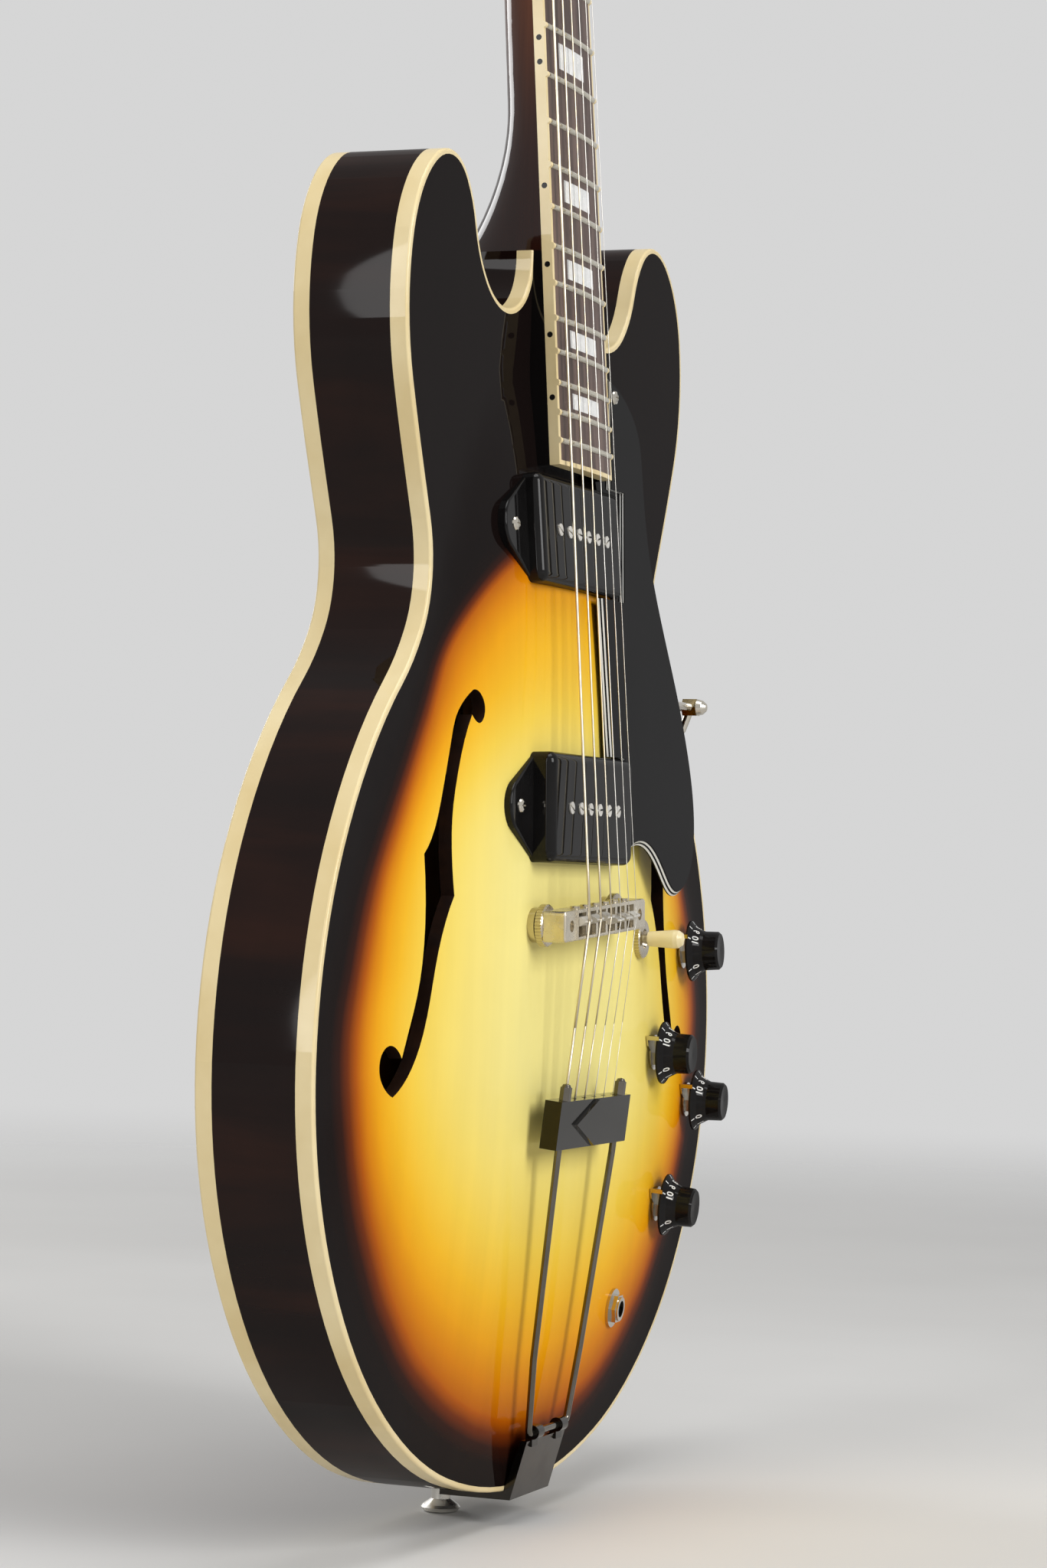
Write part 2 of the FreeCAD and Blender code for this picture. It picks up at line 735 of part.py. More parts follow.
def board_width(s):
    return NUT_W + (TWELFTH_W - NUT_W) * s / (SCALE / 2)


def board_plan(margin, s0, s1, y0, y1):
    """Tapered board outline between two places along the neck, in the neck frame."""
    w0 = board_width(s0) / 2 - margin
    w1 = board_width(s1) / 2 - margin
    z0 = SCALE - s0
    z1 = SCALE - s1
    corners = [V(-w0, y0, z0), V(w0, y0, z0), V(w1, y0, z1), V(-w1, y0, z1), V(-w0, y0, z0)]
    return Part.Face(Part.makePolygon(corners)).extrude(V(0, y1 - y0, 0))


def board_round(extra):
    """Long cylinder whose front is the crowned playing surface."""
    return Part.makeCylinder(BOARD_RADIUS + extra, 2 * SCALE, V(0, BOARD_RADIUS, -SCALE / 2), Z_AXIS)


def fret_s(number):
    return SCALE * (1 - 0.5 ** (number / 12.0))


def fret_crown(number, width):
    """Half round wire bent to the crown of the board."""
    z = SCALE - fret_s(number)
    axis_point = V(0, BOARD_RADIUS, z)
    half = math.degrees(width / 2 / BOARD_RADIUS)
    foot0 = V(0, 0, z - FRET_W / 2)
    foot1 = V(0, 0, z + FRET_W / 2)
    arc = Part.Arc(foot0, V(0, -FRET_H, z), foot1).toShape()
    face = Part.Face(Part.Wire([arc, Part.makeLine(foot1, foot0)]))
    face.rotate(axis_point, Z_AXIS, -half)
    return face.revolve(axis_point, Z_AXIS, 2 * half)


def fret_tang(number):
    s = fret_s(number)
    half = board_width(s) / 2 - BOARD_BINDING_W
    z = SCALE - s
    return box(-half, half, 0, TANG_H + half * half / (2 * BOARD_RADIUS), z - TANG_W / 2, z + TANG_W / 2)


def inlay_box(number):
    """Rectangular inlay half way between two frets."""
    low = fret_s(number - 1)
    high = fret_s(number)
    half_l = (high - low) * INLAY_SHARE_L / 2
    half_w = board_width(high) * INLAY_SHARE_W / 2
    z = SCALE - (low + high) / 2
    deep = INLAY_T + half_w * half_w / (2 * BOARD_RADIUS)
    return box(-half_w, half_w, -1, deep, z - half_l, z + half_l)


def dot_places():
    """Heights along the neck frame of the side dots."""
    places = [SCALE - (fret_s(n - 1) + fret_s(n)) / 2 for n in DOT_FRETS]
    twelfth = SCALE - (fret_s(11) + fret_s(12)) / 2
    return places + [twelfth - TWELFTH_DOT_SPREAD, twelfth + TWELFTH_DOT_SPREAD]


def side_dot(z, length):
    edge = board_width(SCALE - z) / 2
    drop = edge * edge / (2 * BOARD_RADIUS)
    return Part.makeCylinder(DOT_R, length, V(-edge - 1, (drop + BOARD_T) / 2, z), X_AXIS)


def make_fingerboard():
    core = board_plan(BOARD_BINDING_W, 0, board_end_s - BOARD_BINDING_W, -FRET_H, BOARD_T)
    board = core.common(board_round(0))
    tangs = [fret_tang(n) for n in range(1, FRET_COUNT + 1)]
    pockets = [inlay_box(n) for n in INLAY_FRETS]
    return placed(cut_all(board, tangs + pockets), neck_place)


def make_board_binding():
    rim = board_plan(0, 0, board_end_s, -FRET_H, BOARD_T)
    rim = rim.cut(board_plan(BOARD_BINDING_W, -1, board_end_s - BOARD_BINDING_W, -BIG, BIG))
    rim = rim.common(board_round(0))
    core = board_plan(BOARD_BINDING_W, 0, board_end_s - BOARD_BINDING_W, -BIG, BIG)
    outer = board_plan(0, 0, board_end_s, -BIG, BIG)
    nibs = []
    for n in range(1, FRET_COUNT + 1):
        crown = fret_crown(n, board_width(fret_s(n)) + FRET_W)
        nibs.append(crown.common(outer).cut(core))
    rim = fused([rim] + nibs)
    dots = [side_dot(z, DOT_DEPTH + 1) for z in dot_places()]
    return placed(cut_all(rim, dots), neck_place)


def make_frets():
    core = board_plan(BOARD_BINDING_W, 0, board_end_s - BOARD_BINDING_W, -BIG, BIG)
    frets = []
    for n in range(1, FRET_COUNT + 1):
        crown = fret_crown(n, board_width(fret_s(n)) + FRET_W).common(core)
        tang = fret_tang(n).common(board_round(0))
        frets.append(placed(fused([crown, tang]), neck_place))
    return Part.makeCompound(frets)


def make_markers():
    solids = [inlay_box(n).common(board_round(0)) for n in INLAY_FRETS]
    flanks = board_plan(0, 0, board_end_s, -BIG, BIG)
    solids += [side_dot(z, DOT_DEPTH + 1).common(flanks) for z in dot_places()]
    return Part.makeCompound([placed(s, neck_place) for s in solids])


def neck_section(s, depth):
    """Rounded back of the neck at one place, closed by the glue line under the board."""
    half = board_width(s) / 2
    z = SCALE - s
    shoulder = BOARD_T + depth * NECK_SHOULDER
    low = BOARD_T + depth
    poles = [V(half, BOARD_T, z), V(half, shoulder, z), V(half * NECK_FLAT, low, z), V(0, low, z)]
    treble = Part.BezierCurve()
    treble.setPoles(poles)
    bass = Part.BezierCurve()
    bass.setPoles([V(-p.x, p.y, p.z) for p in reversed(poles)])
    return Part.Wire([treble.toShape(), bass.toShape(), Part.makeLine(V(-half, BOARD_T, z), poles[0])])


def joint_s():
    """Place along the neck where the heel meets the body."""
    return SCALE - (joint_z - bridge_z) / math.cos(math.radians(NECK_ANGLE))


def heel_depth():
    """Depth of the heel under the board where it meets the body."""
    tilt = math.radians(NECK_ANGLE)
    board_y = front_y - BOARD_RISE + (joint_z - bridge_z) * math.tan(tilt)
    return (back_y - HEEL_BACK_GAP - board_y) / math.cos(tilt) - BOARD_T


def neck_shaft():
    """Tapered shaft that swells into the heel."""
    start = joint_s() - HEEL_RUN
    swell = heel_depth() - NECK_DEPTH_HEEL
    ends = [neck_section(-NUT_T, NECK_DEPTH_NUT), neck_section(start, NECK_DEPTH_HEEL)]
    sections = []
    for step in range(HEEL_SECTIONS + 2):
        share = step / HEEL_SECTIONS
        sections.append(neck_section(start + HEEL_RUN * share, NECK_DEPTH_HEEL + swell * share ** HEEL_CURVE))
    return [Part.makeLoft(ends, True, True), Part.makeLoft(sections, True, False)]


def head_outline():
    """Plain tapered headstock with a shallow arched top, in the headstock frame."""
    root = HEAD_ROOT_W / 2
    low = HEAD_LOW_W / 2
    high = HEAD_HIGH_W / 2
    shoulder = HEAD_LENGTH - HEAD_TOP_RISE
    lean = math.degrees(math.atan2(shoulder - HEAD_FLARE_Z, high - low))
    start = V(root, 0, -NUT_T)
    flare = V(low, 0, HEAD_FLARE_Z)
    edges = biarc(start, 90, flare, lean)
    edges.append(Part.makeLine(flare, V(high, 0, shoulder)))
    edges += [mirrored(e) for e in edges]
    edges.append(Part.Arc(V(high, 0, shoulder), V(0, 0, HEAD_LENGTH), V(-high, 0, shoulder)).toShape())
    edges.append(Part.makeLine(start, V(-root, 0, -NUT_T)))
    return Part.Wire(Part.__sortEdges__(edges))


def rod_pocket():
    return box(-ROD_POCKET_W / 2, ROD_POCKET_W / 2, -BIG, ROD_POCKET_D, -NUT_T / 2, ROD_POCKET_L)


def tuner_places():
    """Each tuner's side, post place across and up the headstock, and string number, bass to treble."""
    bass = [(-1, POST_X[i], POST_Z[i], i) for i in range(3)]
    treble = [(1, POST_X[i], POST_Z[i], 5 - i) for i in (2, 1, 0)]
    return bass + treble


def post_holes(radius):
    holes = []
    for side, x, z, number in tuner_places():
        holes.append(Part.makeCylinder(radius, 4 * HEAD_T, V(side * x, -HEAD_T, z), Y_AXIS))
    return holes


def nut_space(depth):
    """Room for the board and the nut down to a depth, in the headstock frame."""
    room = box(-BIG, BIG, -BIG, depth, -BIG, SCALE + NUT_T + GLUE_GAP)
    return placed(room, head_place.inverse() * neck_place)


def make_neck():
    head = prism(head_outline(), VENEER_T, VENEER_T + HEAD_T)
    head = cut_all(head, [rod_pocket(), nut_space(BOARD_T)] + post_holes(BUSHING_R))
    shaft = placed(fused(neck_shaft()), neck_place)
    shaft = shaft.cut(box(-BIG, BIG, -BIG, BIG, -BIG, joint_z))
    shaft = shaft.cut(placed(rod_pocket(), head_place))
    tongue = placed(board_plan(0, joint_s() - 1, board_end_s, BOARD_T, BOARD_T + BOARD_RISE / 2), neck_place)
    tongue = cut_all(tongue, [under_top, box(-BIG, BIG, front_y, BIG, joint_z, BIG)])
    whole = fused([shaft, placed(head, head_place), tongue, tenon_box(0)])
    tail = joint_s() - TRUSS_SHORT
    channel = Part.makeCylinder(TRUSS_R + TRUSS_FIT, tail + 2 * ROD_POCKET_L, truss_point(tail), Z_AXIS)
    return whole.cut(placed(channel, neck_place))


def make_veneer():
    sheet = prism(head_outline(), 0, VENEER_T)
    sheet = cut_all(sheet, [rod_pocket(), nut_space(BOARD_T + VENEER_T)] + post_holes(BUSHING_R))
    return placed(sheet, head_place)


def truss_point(s):
    return V(0, BOARD_T + TRUSS_DEPTH, SCALE - s)


def make_truss_rod():
    end = truss_point(-NUT_T - TRUSS_NUT_L)
    return placed(rod_between(truss_point(joint_s() - TRUSS_SHORT), end, TRUSS_R), neck_place)


def make_truss_nut():
    start = truss_point(-NUT_T - TRUSS_NUT_L / 2)
    corners = []
    for i in range(7):
        turn = i * math.pi / 3
        corners.append(start + V(TRUSS_NUT_R * math.cos(turn), TRUSS_NUT_R * math.sin(turn), 0))
    nut = Part.Face(Part.makePolygon(corners)).extrude(V(0, 0, TRUSS_NUT_L))
    bore = Part.makeCylinder(TRUSS_R + TRUSS_FIT, TRUSS_NUT_L, start, Z_AXIS)
    return placed(nut.cut(bore), neck_place)


def rod_cover_screws():
    beside = ROD_POCKET_W / 2 + 2.5
    return [(0, ROD_COVER_L - ROD_COVER_W * 0.22), (-beside, NUT_T), (beside, NUT_T)]


def make_rod_cover():
    """Plain tapered cover over the truss-rod pocket."""
    half = ROD_COVER_W / 2
    tip = half * 0.45
    top = ROD_COVER_L - tip
    edges = [Part.makeLine(V(-half, 0, 1), V(half, 0, 1)), Part.makeLine(V(half, 0, 1), V(tip, 0, top)),
             Part.Arc(V(tip, 0, top), V(0, 0, ROD_COVER_L), V(-tip, 0, top)).toShape(),
             Part.makeLine(V(-tip, 0, top), V(-half, 0, 1))]
    plate = prism(Part.Wire(edges), -ROD_COVER_T, 0)
    drill_r = SMALL_SCREW * SCREW_SHANK_R
    drills = [Part.makeCylinder(drill_r, BIG, V(x, BIG / 2, z), OUT) for x, z in rod_cover_screws()]
    return placed(cut_all(plate, drills), head_place)


# Strings

def string_x(number, spread):
    return spread * (number / 5.0 - 0.5)


def nut_point(number):
    x = string_x(number, NUT_SPREAD)
    return neck_place.multVec(V(x, x * x / (2 * BOARD_RADIUS) - NUT_STRING_H, SCALE))


def saddle_point(number):
    x = string_x(number, BRIDGE_SPREAD)
    return neck_place.multVec(V(x, x * x / (2 * BOARD_RADIUS) - SADDLE_STRING_H, INTONATION[number]))


def ball_point(number):
    x = string_x(number, BRIDGE_SPREAD)
    return trapeze_place.multVec(V(x, BAR_T / 2 - BAR_FRONT, bar_z + BALL_SEAT_D - BALL_R - STRING_FIT))


def post_point(number):
    side, x, z = [(t[0], t[1], t[2]) for t in tuner_places() if t[3] == number][0]
    gap = POST_R + STRING_R[number] + POST_FIT
    return head_place.multVec(V(side * (x - gap), -POST_STRING_H, z))


def string_path(number):
    return [ball_point(number), saddle_point(number), nut_point(number), post_point(number)]


def make_string(number, extra):
    points = string_path(number)
    radius = STRING_R[number] + extra
    runs = [rod_between(p, q, radius) for p, q in zip(points, points[1:])]
    knees = [Part.makeSphere(radius, p) for p in points[1:3]]
    return runs + knees


def make_strings():
    strings = []
    for number in range(6):
        ball = Part.makeSphere(BALL_R, ball_point(number))
        strings.append(fused(make_string(number, 0) + [ball]))
    return Part.makeCompound(strings)


def make_nut():
    blank = box(-NUT_W / 2, NUT_W / 2, BOARD_T - NUT_H, BOARD_T, SCALE, SCALE + NUT_T)
    blank = blank.common(board_round(NUT_STRING_H + STRING_R[0] / 2))
    blank = placed(blank, neck_place)
    slots = []
    for number in range(6):
        slots += make_string(number, STRING_FIT)
    return cut_all(blank, slots)


# Tuners

def gear_y():
    """Depth in the headstock frame of the middle of the tuner gears."""
    return VENEER_T + HEAD_T + HOUSING_CLEAR + GEAR_T / 2


def worm_z(z):
    return z + GEAR_R + WORM_R + WORM_GAP


def housing_shape(side, x, z):
    back = VENEER_T + HEAD_T
    middle = z + (WORM_R + WORM_GAP) / 2
    shell = box(side * x - HOUSING_W / 2, side * x + HOUSING_W / 2, back, back + HOUSING_D,
                middle - HOUSING_L / 2, middle + HOUSING_L / 2)
    rim = [e for e in shell.Edges if min(v.Y for v in e.Vertexes) > back + HOUSING_D - 1e-6]
    shell = shell.makeFillet(1.2, rim)
    well = Part.makeCylinder(GEAR_R + HOUSING_CLEAR, GEAR_T + 2 * HOUSING_CLEAR, V(side * x, back, z), Y_AXIS)
    inner = HOUSING_W / 2 - 1.5
    axis = V(side * x, gear_y(), worm_z(z))
    lane = Part.makeCylinder(WORM_R + WORM_GAP / 2, 2 * inner, axis - V(inner, 0, 0), X_AXIS)
    mouth = Part.makeCylinder(WORM_SHAFT_R + POST_FIT, HOUSING_W, axis, X_AXIS * side)
    return cut_all(shell, [well, lane, mouth])


def bushing_shape(side, x, z):
    tube = Part.makeCylinder(BUSHING_R, VENEER_T + HEAD_T, V(side * x, 0, z), Y_AXIS)
    flange = Part.makeCylinder(BUSHING_FLANGE_R, BUSHING_FLANGE_T, V(side * x, 0, z), OUT)
    bore = Part.makeCylinder(POST_R + POST_FIT, 4 * HEAD_T, V(side * x, -HEAD_T, z), Y_AXIS)
    return fused([tube, flange]).cut(bore)


def make_housings():
    solids = []
    for side, x, z, number in tuner_places():
        solids.append(placed(housing_shape(side, x, z), head_place))
        solids.append(placed(bushing_shape(side, x, z), head_place))
    return Part.makeCompound(solids)


def make_post(side, x, z):
    """String post with its gear, turned as one piece."""
    foot = gear_y() - GEAR_T / 2
    stem = Part.makeCylinder(POST_R, foot + POST_H, V(side * x, foot, z), OUT)
    waist = Part.makeTorus(POST_R + 2.2, 2.7, V(side * x, -POST_STRING_H, z), Y_AXIS)
    gear = Part.makeCylinder(GEAR_R, GEAR_T, V(side * x, foot, z), Y_AXIS)
    notches = []
    for i in range(GEAR_TEETH):
        turn = 2 * math.pi * i / GEAR_TEETH
        groove = V(side * x + GEAR_R * math.cos(turn), foot, z + GEAR_R * math.sin(turn))
        notches.append(Part.makeCylinder(0.5, GEAR_T, groove, Y_AXIS))
    eye = Part.makeCylinder(0.9, 4 * POST_R, V(side * x - 2 * POST_R, -POST_STRING_H, z), X_AXIS)
    post = fused([stem, gear])
    return placed(cut_all(post, notches + [waist, eye]), head_place)


def make_button(side, x, z):
    """Worm shaft with its thumb button."""
    y = gear_y()
    start = side * x - side * (HOUSING_W / 2 - 1.5 - HOUSING_CLEAR)
    edge = side * (x + HOUSING_W / 2)
    worm_l = HOUSING_W - 3 - 2 * HOUSING_CLEAR
    worm = Part.makeCylinder(WORM_R, worm_l, V(start, y, worm_z(z)), X_AXIS * side)
    collar = edge + side * BUTTON_GAP
    shaft = rod_between(V(start, y, worm_z(z)), V(collar + side * BUTTON_NECK, y, worm_z(z)), WORM_SHAFT_R)
    foot = V(collar, y, worm_z(z))
    stalk = Part.makeCone(WORM_SHAFT_R + 0.4, WORM_SHAFT_R + 1.4, BUTTON_NECK, foot, X_AXIS * side)
    grip = button_grip()
    grip.translate(V(collar + side * (BUTTON_NECK + BUTTON_L / 2), y, worm_z(z)))
    return placed(fused([worm, shaft, stalk, grip]), head_place)


def button_grip():
    """Oval thumb piece with softened edges, centred on the origin."""
    grip = box(-BUTTON_L / 2, BUTTON_L / 2, -BUTTON_T / 2, BUTTON_T / 2, -BUTTON_W / 2, BUTTON_W / 2)
    corners = [e for e in grip.Edges if abs(e.Vertexes[0].Y - e.Vertexes[1].Y) > 1]
    grip = grip.makeFillet(BUTTON_ROUND, corners)
    faces = [e for e in grip.Edges if abs(e.Vertexes[0].Y - e.Vertexes[1].Y) < 1e-6]
    return grip.makeFillet(BUTTON_EDGE, faces)


# Pickups

def pickup_frame(z):
    """Frame of a pickup: on the top's centre line, pitched with the arch."""
    step = PICKUP_W / 2
    x = EAR_SCREW_X
    pitch = math.degrees(math.atan2(top_y(x, z + step) - top_y(x, z - step), 2 * step))
    return FreeCAD.Placement(V(0, top_y(0, z), z), FreeCAD.Rotation(X_AXIS, -pitch))


def ear_outline(side):
    """Ear that tapers from the full width of the cover to a rounded tip."""
    root = PICKUP_L / 2 - PICKUP_ROUND
    tip = PICKUP_L / 2 + EAR_REACH
    half = PICKUP_W / 2
    lean = math.atan2(half - EAR_TIP_R, EAR_REACH + PICKUP_ROUND - EAR_TIP_R)
    touch_x = tip - EAR_TIP_R + EAR_TIP_R * math.sin(lean)
    touch_z = EAR_TIP_R * math.cos(lean)
    upper = V(side * touch_x, 0, touch_z)
    lower = V(side * touch_x, 0, -touch_z)
    arc = Part.Arc(upper, V(side * tip, 0, 0), lower).toShape()
    lines = [Part.makeLine(V(side * root, 0, half), V(side * touch_x, 0, touch_z)),
             Part.makeLine(V(side * touch_x, 0, -touch_z), V(side * root, 0, -half)),
             Part.makeLine(V(side * root, 0, -half), V(side * root, 0, half))]
    return Part.Wire(Part.__sortEdges__([arc] + lines))


def ear_shape(side, top):
    """One ear with its outer edges softened."""
    ear = prism(ear_outline(side), -top, TOP_ARCH)
    root = PICKUP_L / 2 - PICKUP_ROUND + 1e-6
    rim = [e for e in ear.Edges if all(abs(v.Y + top) < 1e-6 for v in e.Vertexes)
           and max(abs(v.X) for v in e.Vertexes) > root]
    return ear.makeFillet(EAR_EDGE, rim)


def ear_top(z, frame):
    """Height of the ears' upper face over the pickup frame."""
    at_screw = frame.inverse().multVec(V(EAR_SCREW_X, top_y(EAR_SCREW_X, z), z))
    return -at_screw.y + EAR_T


def cover_block(height, shrink):
    """Main block of a cover with upright corners and top edges rounded."""
    lx = PICKUP_L / 2 - shrink
    lz = PICKUP_W / 2 - shrink
    block = box(-lx, lx, -height, TOP_ARCH, -lz, lz)
    upright = [e for e in block.Edges if abs(e.Vertexes[0].Y - e.Vertexes[1].Y) > 1]
    return block.makeFillet(PICKUP_ROUND, upright)


def make_cover(z, height):
    frame = pickup_frame(z)
    block = cover_block(height, 0)
    rim = [e for e in block.Edges if all(abs(v.Y + height) < 1e-6 for v in e.Vertexes)]
    block = block.makeFillet(PICKUP_EDGE, rim)
    top = ear_top(z, frame)
    ears = [ear_shape(side, top) for side in (-1, 1)]
    shell = fused([block] + ears)
    hollow = cover_block(height - COVER_WALL, COVER_WALL)
    poles = [Part.makeCylinder(POLE_R, 2 * height, V(x, 0, 0), OUT) for x in pole_places()]
    starts = [V(x, BIG / 2, 0) for x in (-EAR_SCREW_X, EAR_SCREW_X)]
    drills = [Part.makeCylinder(SCREW_SHANK_R, BIG, start, OUT) for start in starts]
    shell = cut_all(shell, [hollow] + poles + drills)
    return placed(shell, frame).cut(under_top)


def make_covers():
    return Part.makeCompound([make_cover(z, h) for z, h in zip(pickup_z, PICKUP_H)])


def pole_places():
    return [POLE_SPREAD * (i / 5.0 - 0.5) for i in range(6)]


def make_coils():
    coils = []
    for z, height in zip(pickup_z, PICKUP_H):
        top = height - COVER_WALL - COIL_GAP
        coil = box(-COIL_L / 2, COIL_L / 2, -top, COIL_H - top, -COIL_W / 2, COIL_W / 2)
        upright = [e for e in coil.Edges if abs(e.Vertexes[0].Y - e.Vertexes[1].Y) > 1]
        coil = coil.makeFillet(COIL_W / 3, upright)
        poles = [Part.makeCylinder(POLE_R, BIG, V(x, BIG / 2, 0), OUT) for x in pole_places()]
        coils.append(placed(cut_all(coil, poles), pickup_frame(z)))
    return Part.makeCompound(coils)


def make_poles():
    poles = []
    for z, height in zip(pickup_z, PICKUP_H):
        head = height + POLE_PROUD
        for x in pole_places():
            pole = Part.makeCylinder(POLE_R, POLE_L, V(x, POLE_L - head, 0), OUT)
            slot = box(x - POLE_R, x + POLE_R, -head, 0.8 - head, -0.35, 0.35)
            slot.rotate(V(x, 0, 0), Y_AXIS, 35 * x)
            poles.append(placed(pole.cut(slot), pickup_frame(z)))
    return Part.makeCompound(poles)


# Bridge

def stud_places():
    """Feet of the bass and the treble stud on the plan; the bridge stands at a slant."""
    return [bridge_place.multVec(V(x, 0, 0)) for x in (-POST_SPACING / 2, POST_SPACING / 2)]


def stud_drills():
    return [Part.makeCylinder(STUD_R, RIM_DEPTH, p, OUT) for p in stud_places()]


def flange_y():
    return top_y(POST_SPACING / 2 - STUD_FLANGE_R, bridge_z) - STUD_FLANGE_T


def wheel_low_y():
    return flange_y() - WHEEL_GAP


def bridge_low_y():
    return wheel_low_y() - WHEEL_T


def bridge_top_y():
    return bridge_low_y() - BRIDGE_H


def make_studs():
    """Threaded studs, each with a flange on the top."""
    solids = []
    for p in stud_places():
        foot = V(p.x, top_y(p.x, p.z) + STUD_DEPTH, p.z)
        stud = rod_between(foot, V(p.x, bridge_top_y() + STUD_STOP, p.z), STUD_R)
        flange = rod_between(V(p.x, front_y, p.z), V(p.x, flange_y(), p.z), STUD_FLANGE_R)
        solids += [stud, cut_all(flange, [under_top, stud])]
    return Part.makeCompound(solids)


def knurled_disc(radius, thickness, bevel):
    """Disc along the outward axis with a bevelled front and a grooved edge."""
    front = [(radius, thickness - bevel), (radius - bevel, thickness), (0, thickness)]
    disc = turned_out([(0, 0), (radius, 0)] + front)
    grooves = []
    for i in range(WHEEL_NOTCHES):
        turn = 2 * math.pi * i / WHEEL_NOTCHES
        groove = V(radius * math.cos(turn), 0, radius * math.sin(turn))
        grooves.append(Part.makeCylinder(KNURL_R, thickness, groove, OUT))
    return cut_all(disc, grooves)


def make_wheel(foot):
    wheel = knurled_disc(WHEEL_R, WHEEL_T, WHEEL_BEVEL)
    wheel = wheel.cut(Part.makeCylinder(STUD_R + WHEEL_FIT, BIG, V(0, BIG / 2, 0), OUT))
    wheel.translate(V(foot.x, wheel_low_y(), foot.z))
    return wheel


def screw_axis_y():
    return bridge_top_y() + SADDLE_SCREW_D


def bridge_spot(number):
    """Where a string crosses its saddle, in the frame of the slanted bridge."""
    return bridge_place.inverse().multVec(saddle_point(number))


def saddle_screw_bore(x):
    start = V(x, screw_axis_y(), -BRIDGE_W)
    return Part.makeCylinder(SADDLE_SCREW_R + SADDLE_SCREW_FIT, 2 * BRIDGE_W, start, Z_AXIS)


def make_bridge_body():
    top = bridge_top_y()
    body = box(-BRIDGE_L / 2, BRIDGE_L / 2, top, bridge_low_y(), -BRIDGE_W / 2, BRIDGE_W / 2)
    upright = [e for e in body.Edges if abs(e.Vertexes[0].Y - e.Vertexes[1].Y) > 1]
    body = body.makeFillet(BRIDGE_CORNER, upright)
    rim = [e for e in body.Edges if all(abs(v.Y - top) < 1e-6 for v in e.Vertexes)]
    body = body.makeFillet(BRIDGE_EDGE, rim)
    tools = []
    for x in (-POST_SPACING / 2, POST_SPACING / 2):
        tools.append(Part.makeCylinder(STUD_R + WHEEL_FIT, BIG, V(x, 0, 0), OUT))
    for number in range(6):
        x = bridge_spot(number).x
        tools.append(box(x - BAY_W / 2, x + BAY_W / 2, top - BRIDGE_H, top + BAY_D, -BAY_L / 2, BAY_L / 2))
        tools.append(saddle_screw_bore(x))
    return placed(cut_all(body, tools), bridge_place)


def make_saddle(number):
    """Ridged saddle with a string notch in its crest."""
    spot = bridge_spot(number)
    crest = spot.y + STRING_R[number] + STRING_FIT - SADDLE_GRIP
    foot = bridge_top_y() + BAY_D - SADDLE_SEAT
    shoulder = bridge_top_y() - SADDLE_SHOULDER
    half = SADDLE_L / 2
    ridge = [V(0, crest, -SADDLE_CREST), V(0, crest, SADDLE_CREST)]
    rise = [V(0, foot, -half), V(0, shoulder, -half)]
    profile = rise + ridge + [V(0, shoulder, half), V(0, foot, half), V(0, foot, -half)]
    body = Part.Face(Part.makePolygon(profile)).extrude(V(SADDLE_W, 0, 0))
    body.translate(V(spot.x - SADDLE_W / 2, 0, spot.z))
    body = placed(body.cut(saddle_screw_bore(spot.x)), bridge_place)
    return cut_all(body, make_string(number, STRING_FIT))


def make_saddle_screws():
    screws = []
    y = screw_axis_y()
    for number in range(6):
        x = bridge_spot(number).x
        end = V(x, y, BRIDGE_W / 2)
        head_end = end + V(0, 0, SADDLE_SCREW_HEAD_T)
        shank = rod_between(V(x, y, -BRIDGE_W / 2), end, SADDLE_SCREW_R)
        head = rod_between(end, head_end, SADDLE_SCREW_HEAD_R)
        slot = box(x - SADDLE_SCREW_HEAD_R, x + SADDLE_SCREW_HEAD_R, y - SADDLE_SCREW_SLOT,
                   y + SADDLE_SCREW_SLOT, head_end.z - 2 * SADDLE_SCREW_SLOT, head_end.z)
        screws.append(placed(fused([shank, head]).cut(slot), bridge_place))
    return Part.makeCompound(screws)


# Tailpiece

def make_trapeze_bar():
    y0 = -BAR_FRONT
    bar = box(-BAR_L / 2, BAR_L / 2, y0, y0 + BAR_T, bar_z, bar_z + BAR_H)
    middle = bar_z + BAR_H / 2
    corners = [V(-DIAMOND_HALF_L, y0, middle), V(0, y0, bar_z), V(DIAMOND_HALF_L, y0, middle),
               V(0, y0, bar_z + BAR_H)]
    base = Part.makePolygon(corners + corners[:1])
    share = DIAMOND_SHARE
    ridge = [V(c.x * share, y0 - DIAMOND_RISE, middle + (c.z - middle) * share) for c in corners]
    crown = Part.makePolygon(ridge + ridge[:1])
    bar = fused([bar, Part.makeLoft([base, crown], True, True)])
    tools = []
    for number in range(6):
        foot = V(string_x(number, BRIDGE_SPREAD), y0 + BAR_T / 2, bar_z)
        tools.append(Part.makeCylinder(STRING_HOLE_R, 2 * BAR_H, foot, Z_AXIS))
        tools.append(Part.makeCylinder(BALL_SEAT_R, BALL_SEAT_D, foot, Z_AXIS))
    for x in (-ROD_BAR_X, ROD_BAR_X):
        tools.append(Part.makeCylinder(ROD_R, 2 * BAR_H, V(x, -ROD_FORWARD, bar_z), Z_AXIS))
    return placed(cut_all(bar, tools), trapeze_place)


